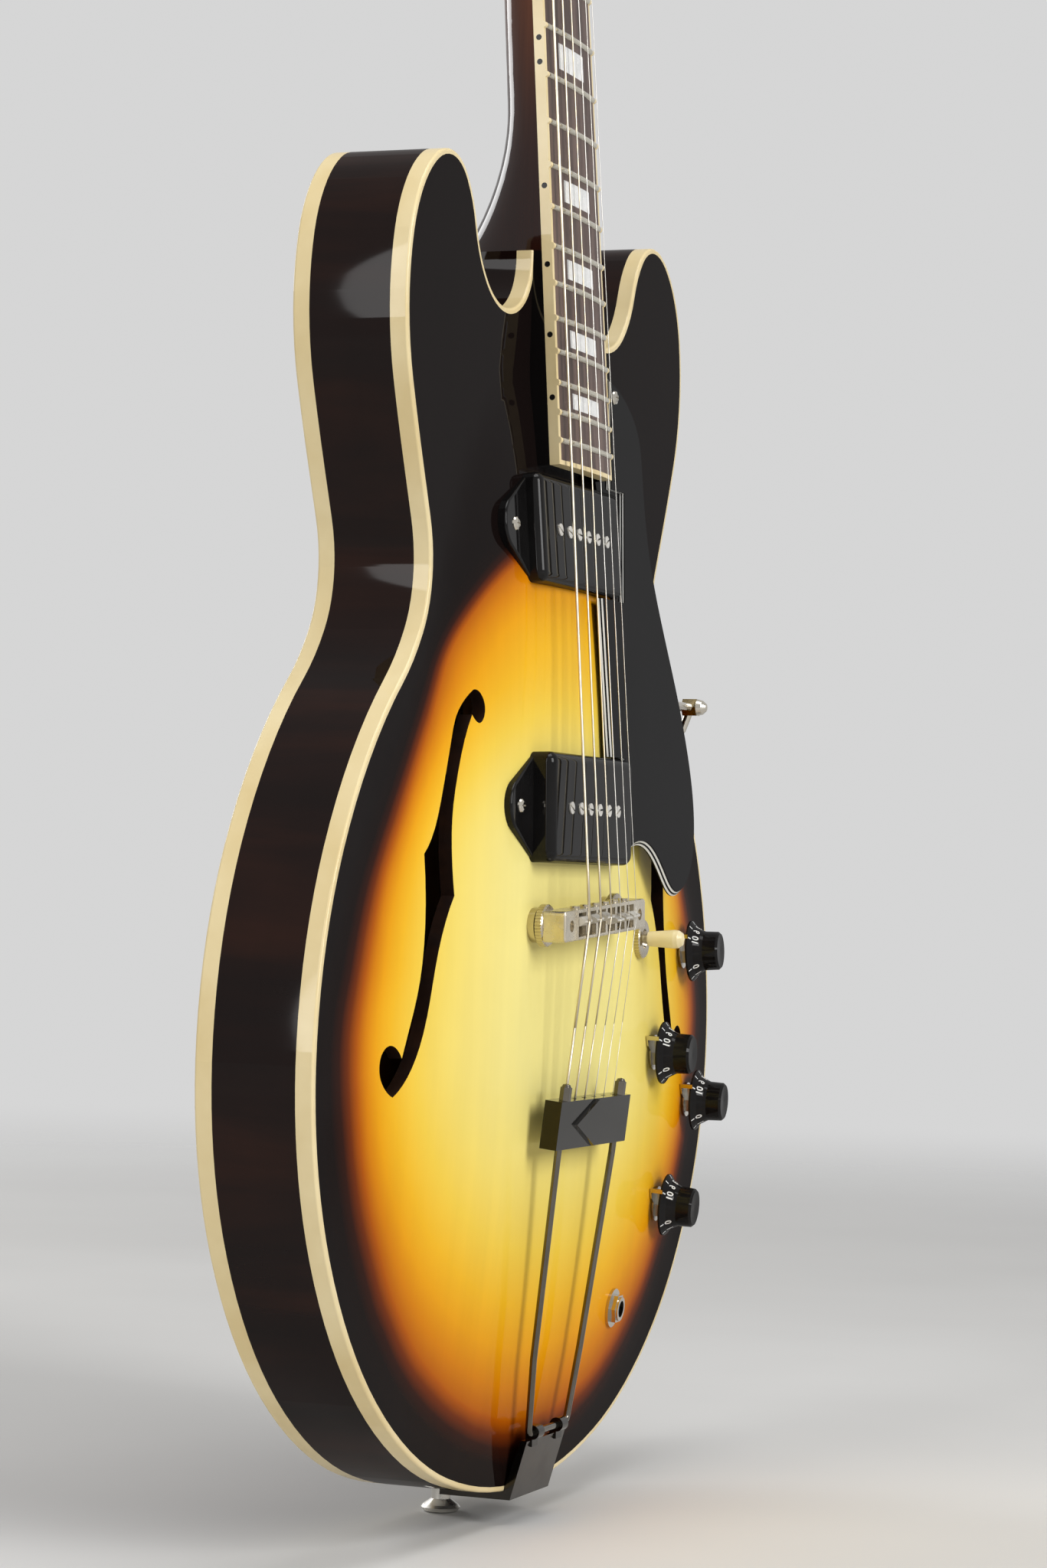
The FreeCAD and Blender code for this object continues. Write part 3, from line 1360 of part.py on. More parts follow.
def make_trapeze_rods():
    """One bent rod with a nut on each end above the bar."""
    top = bar_z + BAR_H + ROD_NUT_H - 1
    half = [V(ROD_BAR_X, -ROD_FORWARD, top), V(ROD_BAR_X, -ROD_FORWARD, bar_z - ROD_BAR_BEND),
            V(ROD_BEND_X, 0, ROD_BEND_SHARE * bar_z), V(ROD_HINGE_X, 0, 0)]
    path = half + [V(-p.x, p.y, p.z) for p in reversed(half)]
    rod = swept_rod(path, ROD_BEND_R * 0.6, ROD_R)
    solids = [placed(rod, trapeze_place)]
    for x in (-ROD_BAR_X, ROD_BAR_X):
        nut = hexagon(ROD_NUT_R, ROD_NUT_H - 1.4, 0)
        cap = turned_out([(0, ROD_NUT_H - 1.4), (ROD_NUT_R * 0.85, ROD_NUT_H - 1.4),
                          (ROD_NUT_R * 0.6, ROD_NUT_H - 0.4), (0, ROD_NUT_H)])
        nut = fused([nut, cap])
        nut.rotate(V(0, 0, 0), X_AXIS, -90)
        nut.translate(V(x, -ROD_FORWARD, bar_z + BAR_H))
        solids.append(placed(nut, trapeze_place).cut(solids[0]))
    return Part.makeCompound(solids)


def make_trapeze_bracket():
    """Strap bent over the tail edge, with two knuckles round the rod."""
    hinge = trapeze_place.Base
    outer = -BRACKET_T
    lip = front_y - BRACKET_T
    wall = ROD_R + HINGE_FIT + KNUCKLE_WALL
    foot_y = hinge.y + wall
    profile = [V(0, BRACKET_TAB, outer), V(0, lip, outer), V(0, foot_y - BRACKET_T, hinge.z - wall),
               V(0, foot_y, hinge.z - wall), V(0, front_y, 1.5), V(0, BRACKET_TAB, 1.5)]
    strap = Part.Face(Part.makePolygon(profile + profile[:1])).extrude(V(BRACKET_W, 0, 0))
    strap.translate(V(-BRACKET_W / 2, 0, 0))
    knuckles = []
    for x in (-KNUCKLE_X, KNUCKLE_X):
        start = V(x - KNUCKLE_L / 2, hinge.y, hinge.z)
        knuckles.append(Part.makeCylinder(wall, KNUCKLE_L, start, X_AXIS))
        ends = (x - KNUCKLE_L / 2, x + KNUCKLE_L / 2)
        knuckles.append(box(ends[0], ends[1], hinge.y, foot_y, hinge.z - 2 * wall, hinge.z))
    bore = Part.makeCylinder(ROD_R + HINGE_FIT, BRACKET_W, V(-BRACKET_W / 2, hinge.y, hinge.z), X_AXIS)
    sweep = Part.makeCylinder(wall + HINGE_FIT * 5, BRACKET_W, V(-BRACKET_W / 2, hinge.y, hinge.z), X_AXIS)
    strap = fused([strap.cut(sweep)] + [k.cut(bore) for k in knuckles])
    starts = [V(x, y, -2 * BRACKET_T) for x, y in bracket_screws()]
    drills = [Part.makeCylinder(SCREW_SHANK_R, 4 * BRACKET_T, start, Z_AXIS) for start in starts]
    return cut_all(strap, [prism(outline, front_y, back_y), bore] + drills)


def bracket_screws():
    reach = BRACKET_W / 2 - 8
    return [(-reach, -2.0), (reach, -2.0), (0, -10.0)]


# Controls

def knob_shape():
    rim = KNOB_LIFT
    flare = rim + KNOB_SKIRT_H
    top = rim + KNOB_H
    skirt = KNOB_SKIRT_R
    bore = SHAFT_R + HINGE_FIT
    deep = rim + KNOB_WALL + SHAFT_BITE + HINGE_FIT
    profile = [(bore, rim + KNOB_WALL), (skirt - KNOB_WALL, rim), (skirt, rim), (skirt, rim + 0.7),
               (skirt - 2.6, rim + 2.6), (KNOB_CROWN_R + 0.5, flare), (KNOB_CROWN_R, flare + 1.2),
               (KNOB_CROWN_R - 0.2, top - 0.9), (KNOB_CROWN_R - 1.0, top), (0, top - 0.4), (0, deep),
               (bore, deep)]
    return turned_out(profile)


def make_knob(x, z):
    seat = top_seat(x, z)
    shaft = Part.makeCylinder(SHAFT_R, KNOB_LIFT + KNOB_WALL + SHAFT_BITE + PLATE_T, V(0, PLATE_T, 0), OUT)
    return Part.makeCompound([placed(knob_shape(), seat), placed(shaft, seat)])


def make_pots():
    pots = []
    for x, z in knob_places:
        under = PLATE_T + 0.4
        can = Part.makeCylinder(POT_R, POT_H, V(0, under + POT_H, 0), OUT)
        bush = Part.makeCylinder(POT_BUSH_R, under + POT_BUSH_H, V(0, under, 0), OUT)
        nut = hexagon(POT_NUT_R, POT_BUSH_H - POINTER_T - POINTER_LIFT - 0.2, POINTER_T + POINTER_LIFT)
        bore = Part.makeCylinder(SHAFT_R + HINGE_FIT, BIG, V(0, PLATE_T + HINGE_FIT, 0), OUT)
        pots.append(placed(fused([can, bush, nut]).cut(bore), top_seat(x, z)))
    return Part.makeCompound(pots)


def make_pointers():
    """Washer with an arrow that turns up beside each knob."""
    pointers = []
    for x, z in knob_places:
        ring = Part.makeCylinder(POINTER_R, POINTER_T, V(0, 0, 0), OUT)
        half = POINTER_W / 2
        neck = POINTER_REACH - 4
        arrow = [V(0, 0, -half), V(neck, 0, -half), V(POINTER_REACH, 0, 0), V(neck, 0, half), V(0, 0, half),
                 V(0, 0, -half)]
        blade = Part.Face(Part.makePolygon(arrow)).extrude(OUT * POINTER_T)
        tip = [V(POINTER_REACH - 1.6, 0, -1), V(POINTER_REACH, 0, 0), V(POINTER_REACH - 1.6, 0, 1)]
        lug = Part.Face(Part.makePolygon(tip + tip[:1])).extrude(OUT * (KNOB_LIFT + 1))
        whole = fused([ring, blade, lug])
        whole = whole.cut(Part.makeCylinder(POT_BUSH_R, BIG, V(0, BIG / 2, 0), OUT))
        whole.rotate(V(0, 0, 0), Y_AXIS, -POINTER_ANGLE)
        whole.translate(OUT * POINTER_LIFT)
        pointers.append(placed(whole, top_seat(x, z)).cut(under_top))
    return Part.makeCompound(pointers)


def make_switch():
    nut = knurled_disc(SWITCH_NUT_R, SWITCH_NUT_T, WHEEL_BEVEL)
    mouth = [(SWITCH_NUT_HOLE, SWITCH_NUT_T), (SWITCH_NUT_HOLE, SWITCH_NUT_T + 1), (0, SWITCH_NUT_T + 1)]
    throat = turned_out([(0, -LEVER_PIVOT_D), (LEVER_R + HOLE_CLEAR, -LEVER_PIVOT_D)] + mouth)
    nut = nut.cut(throat)
    low = PLATE_T + 0.4
    half_w = SWITCH_BODY_W / 2
    half_l = SWITCH_BODY_L / 2
    body = box(-half_w, half_w, low, low + SWITCH_BODY_D, -half_l, half_l)
    bush = Part.makeCylinder(SWITCH_BUSH_R, low, V(0, low, 0), OUT)
    socket = lever_barrel(HINGE_FIT)
    body = cut_all(fused([body, bush]), [throat, socket])
    seat = top_seat(*switch_place)
    return Part.makeCompound([placed(nut, seat), placed(body, seat)])


def lever_barrel(room):
    """Cross barrel that the lever rocks on, or with room its socket."""
    half = LEVER_BARREL_L / 2 + room
    return Part.makeCylinder(LEVER_BARREL_R + room, 2 * half, V(-half, LEVER_PIVOT_D, 0), X_AXIS)


def make_lever():
    """Lever rod on its cross barrel, with the moulded tip."""
    pivot = V(0, LEVER_PIVOT_D, 0)
    tip_low = SWITCH_NUT_T + TIP_GAP
    rod = rod_between(pivot, V(0, -tip_low - TIP_L * 0.7, 0), LEVER_R)
    lever = fused([lever_barrel(0), rod])
    tip = turned_out([(0, tip_low), (TIP_BASE_R, tip_low), (TIP_R, tip_low + TIP_L * 0.72),
                      (TIP_R * 0.94, tip_low + TIP_L * 0.84), (TIP_R * 0.66, tip_low + TIP_L * 0.95),
                      (0, tip_low + TIP_L)])
    seat = top_seat(*switch_place)
    return Part.makeCompound([placed(lever, seat), placed(tip.cut(rod), seat)])


def make_jack():
    low = PLATE_T + 0.4
    high = JACK_WASHER_T + JACK_NUT_T + 0.8
    bush = Part.makeCylinder(JACK_BUSH_R, low + high, V(0, low, 0), OUT)
    body = Part.makeCylinder(JACK_BODY_R, JACK_BODY_L, V(0, low + JACK_BODY_L, 0), OUT)
    bore = Part.makeCylinder(JACK_BORE_R, BIG, V(0, BIG / 2, 0), OUT)
    barrel = fused([bush, body]).cut(bore)
    washer = Part.makeCylinder(JACK_WASHER_R, JACK_WASHER_T, V(0, 0, 0), OUT)
    nut = hexagon(JACK_NUT_R, JACK_NUT_T, JACK_WASHER_T)
    nut = fused([washer, nut]).cut(Part.makeCylinder(JACK_BUSH_R, BIG, V(0, BIG / 2, 0), OUT))
    seat = top_seat(*jack_place)
    return Part.makeCompound([placed(barrel, seat), placed(nut, seat)])


# Pickguard

def guard_frame():
    """Frame of the guard: its -y axis square to the plate, z up the plate from its lower end."""
    tilt = math.degrees(math.atan2(GUARD_LOWER_H - GUARD_UPPER_H, GUARD_LENGTH))
    return FreeCAD.Placement(V(0, front_y - GUARD_LOWER_H, guard_low_z), FreeCAD.Rotation(X_AXIS, -tilt))


def guard_wire():
    """Guard outline: notched round the board and the two covers on its inner side, curved outside."""
    board = board_width(board_end_s) / 2 + GUARD_GAP
    cover_x = PICKUP_L / 2 + GUARD_GAP
    cover_half = PICKUP_W / 2 + GUARD_GAP
    neck_up = PICKUP_UP[0] - GUARD_LOWER_UP
    bridge_up = PICKUP_UP[1] - GUARD_LOWER_UP
    inner = [V(board, 0, GUARD_LENGTH), V(board, 0, neck_up + cover_half),
             V(cover_x, 0, neck_up + cover_half),
             V(cover_x, 0, neck_up - cover_half), V(GUARD_MID_X[0], 0, neck_up - cover_half),
             V(GUARD_MID_X[1], 0, bridge_up + cover_half), V(cover_x, 0, bridge_up + cover_half),
             V(cover_x, 0, bridge_up - cover_half + 2 * GUARD_GAP)]
    edges = [Part.makeLine(p, q) for p, q in zip(inner, inner[1:])]
    curve = Part.BSplineCurve()
    edge = [V(x, 0, share * GUARD_LENGTH) for x, share in GUARD_EDGE]
    curve.interpolate([inner[0]] + edge + [inner[-1]])
    return Part.Wire(Part.__sortEdges__(edges + [curve.toShape()]))


def guard_bevel_edges(plate):
    """Front edges that show their plies: the outer curve and the stretch between the covers."""
    shown = []
    for e in plate.Edges:
        if all(abs(v.Y) < 1e-6 for v in e.Vertexes):
            first, last = e.Vertexes[0].Point, e.Vertexes[-1].Point
            slanted = abs(first.x - last.x) > 1 and abs(first.z - last.z) > 1
            if slanted:
                shown.append(e)
    return shown


def make_guard():
    plate = prism(guard_wire(), 0, GUARD_T)
    plate = plate.makeChamfer(GUARD_BEVEL, guard_bevel_edges(plate))
    x, share = GUARD_SCREW
    drill = Part.makeCylinder(SCREW_SHANK_R, BIG, V(x, BIG / 2, share * GUARD_LENGTH), OUT)
    return placed(plate.cut(drill), guard_frame())


def rim_x(z):
    """Half width of the body at a height."""
    ray = Part.makeLine(V(0, 0, z), V(BIG, 0, z))
    return max(v.X for v in outline.section(ray).Vertexes)


def bracket_corner():
    """Where the bracket's arm and leg meet, beside the rim and under the guard."""
    z = bridge_z + BRACKET_UP
    under = guard_frame().multVec(V(0, GUARD_T + BRACKET_ROD_R + GLUE_GAP, BRACKET_UP - GUARD_LOWER_UP)).y
    return V(rim_x(z) + BRACKET_CLEAR + BRACKET_ROD_R, under, z)


def bracket_nut():
    """Acorn nut along the outward axis, with a pointed pin through it."""
    low = -BRACKET_NUT_L / 2
    high = BRACKET_NUT_L / 2
    dome = BRACKET_NUT_R * math.cos(math.pi / 6)
    cap = turned_out([(0, high), (dome, high), (0.85 * dome, high + 0.5 * BRACKET_DOME),
                      (0.45 * dome, high + 0.9 * BRACKET_DOME), (0, high + BRACKET_DOME)])
    down = V(0, 0, -1)
    pin = Part.makeCylinder(BRACKET_ROD_R, BRACKET_PIN_L, V(0, 0, 0), down)
    point = Part.makeCone(BRACKET_ROD_R, BRACKET_ROD_R / 4, 2 * BRACKET_ROD_R, down * BRACKET_PIN_L, down)
    for piece in (pin, point):
        piece.rotate(V(0, 0, 0), X_AXIS, BRACKET_PIN_LEAN)
    return fused([hexagon(BRACKET_NUT_R, BRACKET_NUT_L, low), cap, pin, point])


def make_guard_bracket():
    """Arm under the guard and leg to a foot on the rim, joined by the acorn nut, with a clamp block."""
    corner = bracket_corner()
    foot = V(corner.x, BRACKET_FOOT_Y, corner.z)
    inner = V(corner.x - BRACKET_ARM, corner.y, corner.z)
    rods = [rod_between(inner, corner, BRACKET_ROD_R), rod_between(corner, foot, BRACKET_ROD_R)]
    reach = BRACKET_ROD_R + BRACKET_CLEAR
    pad = Part.makeCylinder(BRACKET_FOOT_R, reach + BRACKET_ROD_R, foot - V(reach, 0, 0), X_AXIS)
    half_w = BRACKET_CLAMP_W / 2
    clamp = box(inner.x - BRACKET_CLAMP_L / 3, inner.x + BRACKET_CLAMP_L * 2 / 3, corner.y - BRACKET_ROD_R,
                corner.y + reach, corner.z - half_w, corner.z + half_w)
    nut = bracket_nut()
    nut.translate(corner)
    drill = Part.makeCylinder(SCREW_SHANK_R, BIG, V(0, foot.y, foot.z), X_AXIS)
    above = placed(prism(guard_wire(), -BIG, GUARD_T), guard_frame())
    return cut_all(fused(rods + [pad, clamp, nut]), [drill, above, prism(outline, front_y, back_y)])


# Strap buttons and screws

def strap_button():
    """Button turned about the outward axis."""
    stem = [(0, 0), (STRAP_BASE_R, 0), (STRAP_BASE_R, 1.0), (STRAP_WAIST_R, 3.0),
            (STRAP_WAIST_R, STRAP_H - 4.5)]
    head = [(STRAP_HEAD_R - 0.8, STRAP_H - 2.4), (STRAP_HEAD_R, STRAP_H - 1.4), (STRAP_HEAD_R - 1.0, STRAP_H)]
    return turned_out(stem + head + [(0, STRAP_H)])


def strap_places():
    tail = FreeCAD.Placement(V(0, STRAP_Y, 0), FreeCAD.Rotation(X_AXIS, 90))
    heel = FreeCAD.Placement(V(0, back_y, STRAP_HEEL_Z), FreeCAD.Rotation(X_AXIS, 180))
    return tail, heel


def make_strap_buttons():
    buttons = []
    for place in strap_places():
        drill = Part.makeCylinder(SCREW_SHANK_R, BIG, V(0, BIG / 2, 0), OUT)
        buttons.append(placed(strap_button().cut(drill), place))
    return Part.makeCompound(buttons)


def screw(size):
    """Round-head cross-slotted screw with its head seated at the origin, driven along +y."""
    head_r = SCREW_HEAD_R * size
    head_h = SCREW_HEAD_H * size
    head = turned_out([(0, 0), (head_r, 0), (head_r * 0.9, head_h * 0.55), (head_r * 0.5, head_h),
                       (0, head_h)])
    shank = Part.makeCylinder(SCREW_SHANK_R * size, SCREW_L * size, V(0, 0, 0), Y_AXIS)
    wide = 0.5 * size
    slots = [box(-head_r * 0.6, head_r * 0.6, -BIG, -head_h * 0.45, -wide / 2, wide / 2),
             box(-wide / 2, wide / 2, -BIG, -head_h * 0.45, -head_r * 0.6, head_r * 0.6)]
    return cut_all(fused([head, shank]), slots)


def screw_placements():
    """Frame and size of every loose screw on the guitar."""
    spots = []
    for z in pickup_z:
        frame = pickup_frame(z)
        for x in (-EAR_SCREW_X, EAR_SCREW_X):
            spots.append((frame * FreeCAD.Placement(V(x, -ear_top(z, frame), 0), FreeCAD.Rotation()), 1))
    for x, y in bracket_screws():
        spots.append((FreeCAD.Placement(V(x, y, -BRACKET_T), FreeCAD.Rotation(X_AXIS, 90)), 1))
    for x, z in rod_cover_screws():
        spots.append((head_place * FreeCAD.Placement(V(x, -ROD_COVER_T, z), FreeCAD.Rotation()), SMALL_SCREW))
    x, share = GUARD_SCREW
    spots.append((guard_frame() * FreeCAD.Placement(V(x, 0, share * GUARD_LENGTH), FreeCAD.Rotation()), 1))
    corner = bracket_corner()
    foot = V(corner.x + BRACKET_ROD_R, BRACKET_FOOT_Y, corner.z)
    spots.append((FreeCAD.Placement(foot, FreeCAD.Rotation(OUT, X_AXIS)), 1))
    for place in strap_places():
        spots.append((place * FreeCAD.Placement(V(0, -STRAP_H, 0), FreeCAD.Rotation()), 1.0))
    return spots


def make_screws():
    return Part.makeCompound([placed(screw(size), place) for place, size in screw_placements()])


def drilled(shape):
    """Pilot holes for the screws that enter a piece."""
    tools = []
    for place, size in screw_placements():
        hole = Part.makeCylinder(SCREW_SHANK_R * size, SCREW_L * size, V(0, 0, 0), Y_AXIS)
        tools.append(placed(hole, place))
    return cut_all(shape, tools)


def drilled_group(shape):
    solids = []
    for solid in shape.Solids:
        solids += drilled(solid).Solids
    return Part.makeCompound(solids)


def main():
    os.makedirs("parts", exist_ok=True)
    nodes = {
        "top_plate": drilled(make_top_plate()),
        "back_plate": drilled(make_back_plate()),
        "rim_sides": drilled(make_rim_sides()),
        "body_bindings": drilled_group(make_bindings()),
        "linings_and_tone_bars": drilled_group(make_linings_and_bars()),
        "body_blocks": drilled_group(make_blocks()),
        "neck": drilled(make_neck()),
        "headstock_veneer": drilled(make_veneer()),
        "fingerboard": make_fingerboard(),
        "fingerboard_binding": make_board_binding(),
        "frets": make_frets(),
        "position_markers": make_markers(),
        "nut": make_nut(),
        "truss_rod": make_truss_rod(),
        "truss_rod_nut": make_truss_nut(),
        "truss_rod_cover": make_rod_cover(),
        "strings": make_strings(),
        "tuner_housings": make_housings(),
        "pickup_covers": make_covers(),
        "pickup_coils": make_coils(),
        "pole_screws": make_poles(),
        "pickguard": make_guard(),
        "guard_bracket": make_guard_bracket(),
        "bridge_studs": make_studs(),
        "bridge_body": make_bridge_body(),
        "saddle_screws": make_saddle_screws(),
        "tailpiece_bar": make_trapeze_bar(),
        "tailpiece_rods": make_trapeze_rods(),
        "tailpiece_bracket": make_trapeze_bracket(),
        "potentiometers": make_pots(),
        "dial_pointers": make_pointers(),
        "selector_switch": make_switch(),
        "switch_lever": make_lever(),
        "output_jack": make_jack(),
        "strap_buttons": make_strap_buttons(),
        "fastening_screws": make_screws(),
    }
    for name, (x, z) in zip(KNOB_NAMES, knob_places):
        nodes[name] = make_knob(x, z)
    for name, foot in zip(("bass_thumbwheel", "treble_thumbwheel"), stud_places()):
        nodes[name] = make_wheel(foot)
    for number in range(6):
        nodes["saddle_%d" % (6 - number)] = make_saddle(number)
    for side, x, z, number in tuner_places():
        nodes["tuner_post_%d" % (6 - number)] = make_post(side, x, z)
        nodes["tuner_button_%d" % (6 - number)] = make_button(side, x, z)
    for name, shape in nodes.items():
        if not shape.isValid():
            print("not valid:", name)
        print("%-24s %2d solids %10.1f mm3" % (name, len(shape.Solids), shape.Volume))
        shape.exportStep("parts/%s.step" % name)


main()
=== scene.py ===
import math

import bpy
from mathutils import Matrix, Vector
from mathutils.bvhtree import BVHTree


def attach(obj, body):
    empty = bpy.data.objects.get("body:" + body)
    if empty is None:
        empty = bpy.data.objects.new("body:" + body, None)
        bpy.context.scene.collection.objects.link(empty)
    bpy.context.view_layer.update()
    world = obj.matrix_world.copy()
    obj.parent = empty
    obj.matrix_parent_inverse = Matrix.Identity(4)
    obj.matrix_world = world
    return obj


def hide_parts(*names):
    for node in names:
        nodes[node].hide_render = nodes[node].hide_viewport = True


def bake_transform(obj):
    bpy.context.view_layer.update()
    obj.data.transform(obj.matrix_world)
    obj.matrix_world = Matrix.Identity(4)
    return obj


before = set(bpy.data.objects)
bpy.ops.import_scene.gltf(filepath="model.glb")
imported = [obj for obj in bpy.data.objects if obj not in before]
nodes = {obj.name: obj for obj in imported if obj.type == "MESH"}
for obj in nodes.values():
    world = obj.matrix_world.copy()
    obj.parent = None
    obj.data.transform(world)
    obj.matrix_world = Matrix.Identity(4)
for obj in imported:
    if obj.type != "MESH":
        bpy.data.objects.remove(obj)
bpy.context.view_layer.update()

scene = bpy.context.scene

# Measures of the guitar are in millimetres, as in the solids; the scene and its materials are in metres.
MM = 0.001

# The arch of the top: half widths at their heights, the crown and its reach to the tail and to the neck
FRONT_Y = -21.5
LOWER_HALF_W, LOWER_Z = 203.5, 163.0
WAIST_HALF_W, WAIST_Z = 117.0, 334.0
CROWN_Z, REACH_DOWN, REACH_UP = 175.0, 175.0, 245.0
POWER_DOWN, POWER_UP = 2, 4
ARCH_H, ARCH_SOFT = 12.2, 0.25


# Node helpers

def srgb(r, g, b):
    """Display colour in 0..255 to the linear colour that a socket takes."""
    def linear(c):
        c = c / 255.0
        return c / 12.92 if c <= 0.04045 else ((c + 0.055) / 1.055) ** 2.4
    return (linear(r), linear(g), linear(b), 1.0)


VIEWPORT_GREY = (0.5, 0.5, 0.5, 1)
NOISE_BAND = (0.3, 0.7)
PATCH_BAND = (0.35, 0.75)


class Paint:
    """Builds one procedural material around a Principled shader."""

    def __init__(self, name, **fixed):
        self.mat = bpy.data.materials.new(name)
        self.mat.use_nodes = True
        self.tree = self.mat.node_tree
        self.shader = self.tree.nodes["Principled BSDF"]
        for key, value in fixed.items():
            self.shader.inputs[key.replace("_", " ")].default_value = value
        self.mat.diffuse_color = VIEWPORT_GREY

    def node(self, kind, **settings):
        made = self.tree.nodes.new(kind)
        for key, value in settings.items():
            setattr(made, key, value)
        return made

    def feed(self, socket, value):
        """Links a socket, or sets it where the value is a constant."""
        if isinstance(value, bpy.types.NodeSocket):
            self.tree.links.new(value, socket)
        else:
            socket.default_value = value

    def place(self, scale=None):
        """Object coordinates, stretched by a scale per axis where one is given."""
        coords = self.node("ShaderNodeTexCoord").outputs["Object"]
        if scale is None:
            return coords
        mapping = self.node("ShaderNodeMapping")
        self.feed(mapping.inputs["Vector"], coords)
        mapping.inputs["Scale"].default_value = scale
        return mapping.outputs["Vector"]

    def xyz(self):
        split = self.node("ShaderNodeSeparateXYZ")
        self.feed(split.inputs[0], self.place())
        return split.outputs[0], split.outputs[1], split.outputs[2]

    def calc(self, operation, a, b=None):
        made = self.node("ShaderNodeMath", operation=operation)
        self.feed(made.inputs[0], a)
        if b is not None:
            self.feed(made.inputs[1], b)
        return made.outputs[0]

    def ease(self, value, low, high, out_low=0.0, out_high=1.0, soft=True):
        """Maps low..high to out_low..out_high and stays at the ends beyond them."""
        made = self.node("ShaderNodeMapRange", interpolation_type="SMOOTHSTEP" if soft else "LINEAR")
        self.feed(made.inputs["Value"], value)
        made.inputs["From Min"].default_value = low
        made.inputs["From Max"].default_value = high
        made.inputs["To Min"].default_value = out_low
        made.inputs["To Max"].default_value = out_high
        return made.outputs[0]

    def noise(self, scale, detail=3.0, rough=0.5, vector=None, distort=0.0):
        made = self.node("ShaderNodeTexNoise")
        self.feed(made.inputs["Vector"], vector if vector is not None else self.place())
        made.inputs["Scale"].default_value = scale
        made.inputs["Detail"].default_value = detail
        made.inputs["Roughness"].default_value = rough
        made.inputs["Distortion"].default_value = distort
        return made.outputs["Fac"]

    def ramp(self, value, stops, stepped=False):
        """Colours over 0..1 from pairs of a place and a colour, in steps or blended."""
        made = self.node("ShaderNodeValToRGB")
        self.feed(made.inputs[0], value)
        made.color_ramp.interpolation = "CONSTANT" if stepped else "LINEAR"
        elements = made.color_ramp.elements
        while len(elements) < len(stops):
            elements.new(0.5)
        for element, (at, colour) in zip(elements, stops):
            element.position = at
            element.color = colour
        return made.outputs[0]

    def mix(self, share, a, b, how="MIX"):
        made = self.node("ShaderNodeMix", data_type="RGBA", blend_type=how)
        self.feed(made.inputs["Factor"], share)
        self.feed(made.inputs[6], a)
        self.feed(made.inputs[7], b)
        return made.outputs[2]

    def bump(self, height, distance, strength):
        made = self.node("ShaderNodeBump")
        made.inputs["Strength"].default_value = strength
        made.inputs["Distance"].default_value = distance
        self.feed(made.inputs["Height"], height)
        self.feed(self.shader.inputs["Normal"], made.outputs[0])

    def colour(self, value):
        self.feed(self.shader.inputs["Base Color"], value)

    def rough(self, value):
        self.feed(self.shader.inputs["Roughness"], value)


def smudged(p, low, high, scale):
    """Roughness that varies as on handled, polished surfaces."""
    p.rough(p.ease(p.noise(scale, detail=4.0, rough=0.6), *NOISE_BAND, low, high))


def shade(p, colour, share):
    """Darkens a colour by a share that varies over the surface."""
    return p.mix(1.0, colour, share, "MULTIPLY")


def lengthwise(p, squeeze):
    """Coordinates in which a noise is drawn out along the neck."""
    return p.place((1, 1, squeeze))


# Lacquered wood

COAT_SHINE = 0.03
SPRAY_SCALE, SPRAY_SHARE = 14.0, 0.05

# The sunburst along the body: z from and to in metres, then the value at both
SHOULDER_BLACK = (0.298, 0.375, 0.0, 0.62)
BRIDGE_LIGHT, BRIDGE_LIGHT_SHARE = (0.19, 0.23), 0.03
CLEAR_FROM_TAIL = (0.03, 0.165, 0.4, 1.0)
CLEAR_TO_NECK = (0.235, 0.31, 1.0, 0.33)
AMBER_FILL = 0.28


def into_reach(p, distance, reach, power):
    """Share of a reach that a distance covers, raised to a power, and 0 for a distance below 0."""
    return p.calc("POWER", p.calc("MAXIMUM", p.calc("DIVIDE", distance, reach), 0.0), power)


def arch_fill(p):
    """1 in the middle of an arched plate and 0 along its outline, as the sprayed burst follows it."""
    x, _, z = p.xyz()
    half = p.ease(z, LOWER_Z * MM, WAIST_Z * MM, LOWER_HALF_W * MM, WAIST_HALF_W * MM)
    across = p.calc("POWER", p.calc("DIVIDE", p.calc("ABSOLUTE", x), half), 2.0)
    below = into_reach(p, p.calc("SUBTRACT", CROWN_Z * MM, z), REACH_DOWN * MM, POWER_DOWN)
    above = into_reach(p, p.calc("SUBTRACT", z, CROWN_Z * MM), REACH_UP * MM, POWER_UP)
    fill = p.calc("SUBTRACT", p.calc("SUBTRACT", p.calc("SUBTRACT", 1.0, across), below), above)
    spray = p.calc("MULTIPLY", p.calc("SUBTRACT", p.noise(SPRAY_SCALE), 0.5), SPRAY_SHARE)
    return p.calc("ADD", fill, spray)


def burst(p):
    """The fill as the spray gun shaped it: black spreads over the shoulders, amber deepens at both ends."""
    z = p.xyz()[2]
    fill = p.calc("SUBTRACT", arch_fill(p), p.ease(z, *SHOULDER_BLACK))
    fill = p.calc("ADD", fill, p.calc("MULTIPLY", p.ease(z, *BRIDGE_LIGHT), BRIDGE_LIGHT_SHARE))
    clear = p.calc("MULTIPLY", p.ease(z, *CLEAR_FROM_TAIL), p.ease(z, *CLEAR_TO_NECK))
    over = p.calc("MAXIMUM", p.calc("SUBTRACT", fill, AMBER_FILL), 0.0)
    lost = p.calc("MULTIPLY", over, p.calc("SUBTRACT", 1.0, clear))
    return p.calc("SUBTRACT", fill, lost)


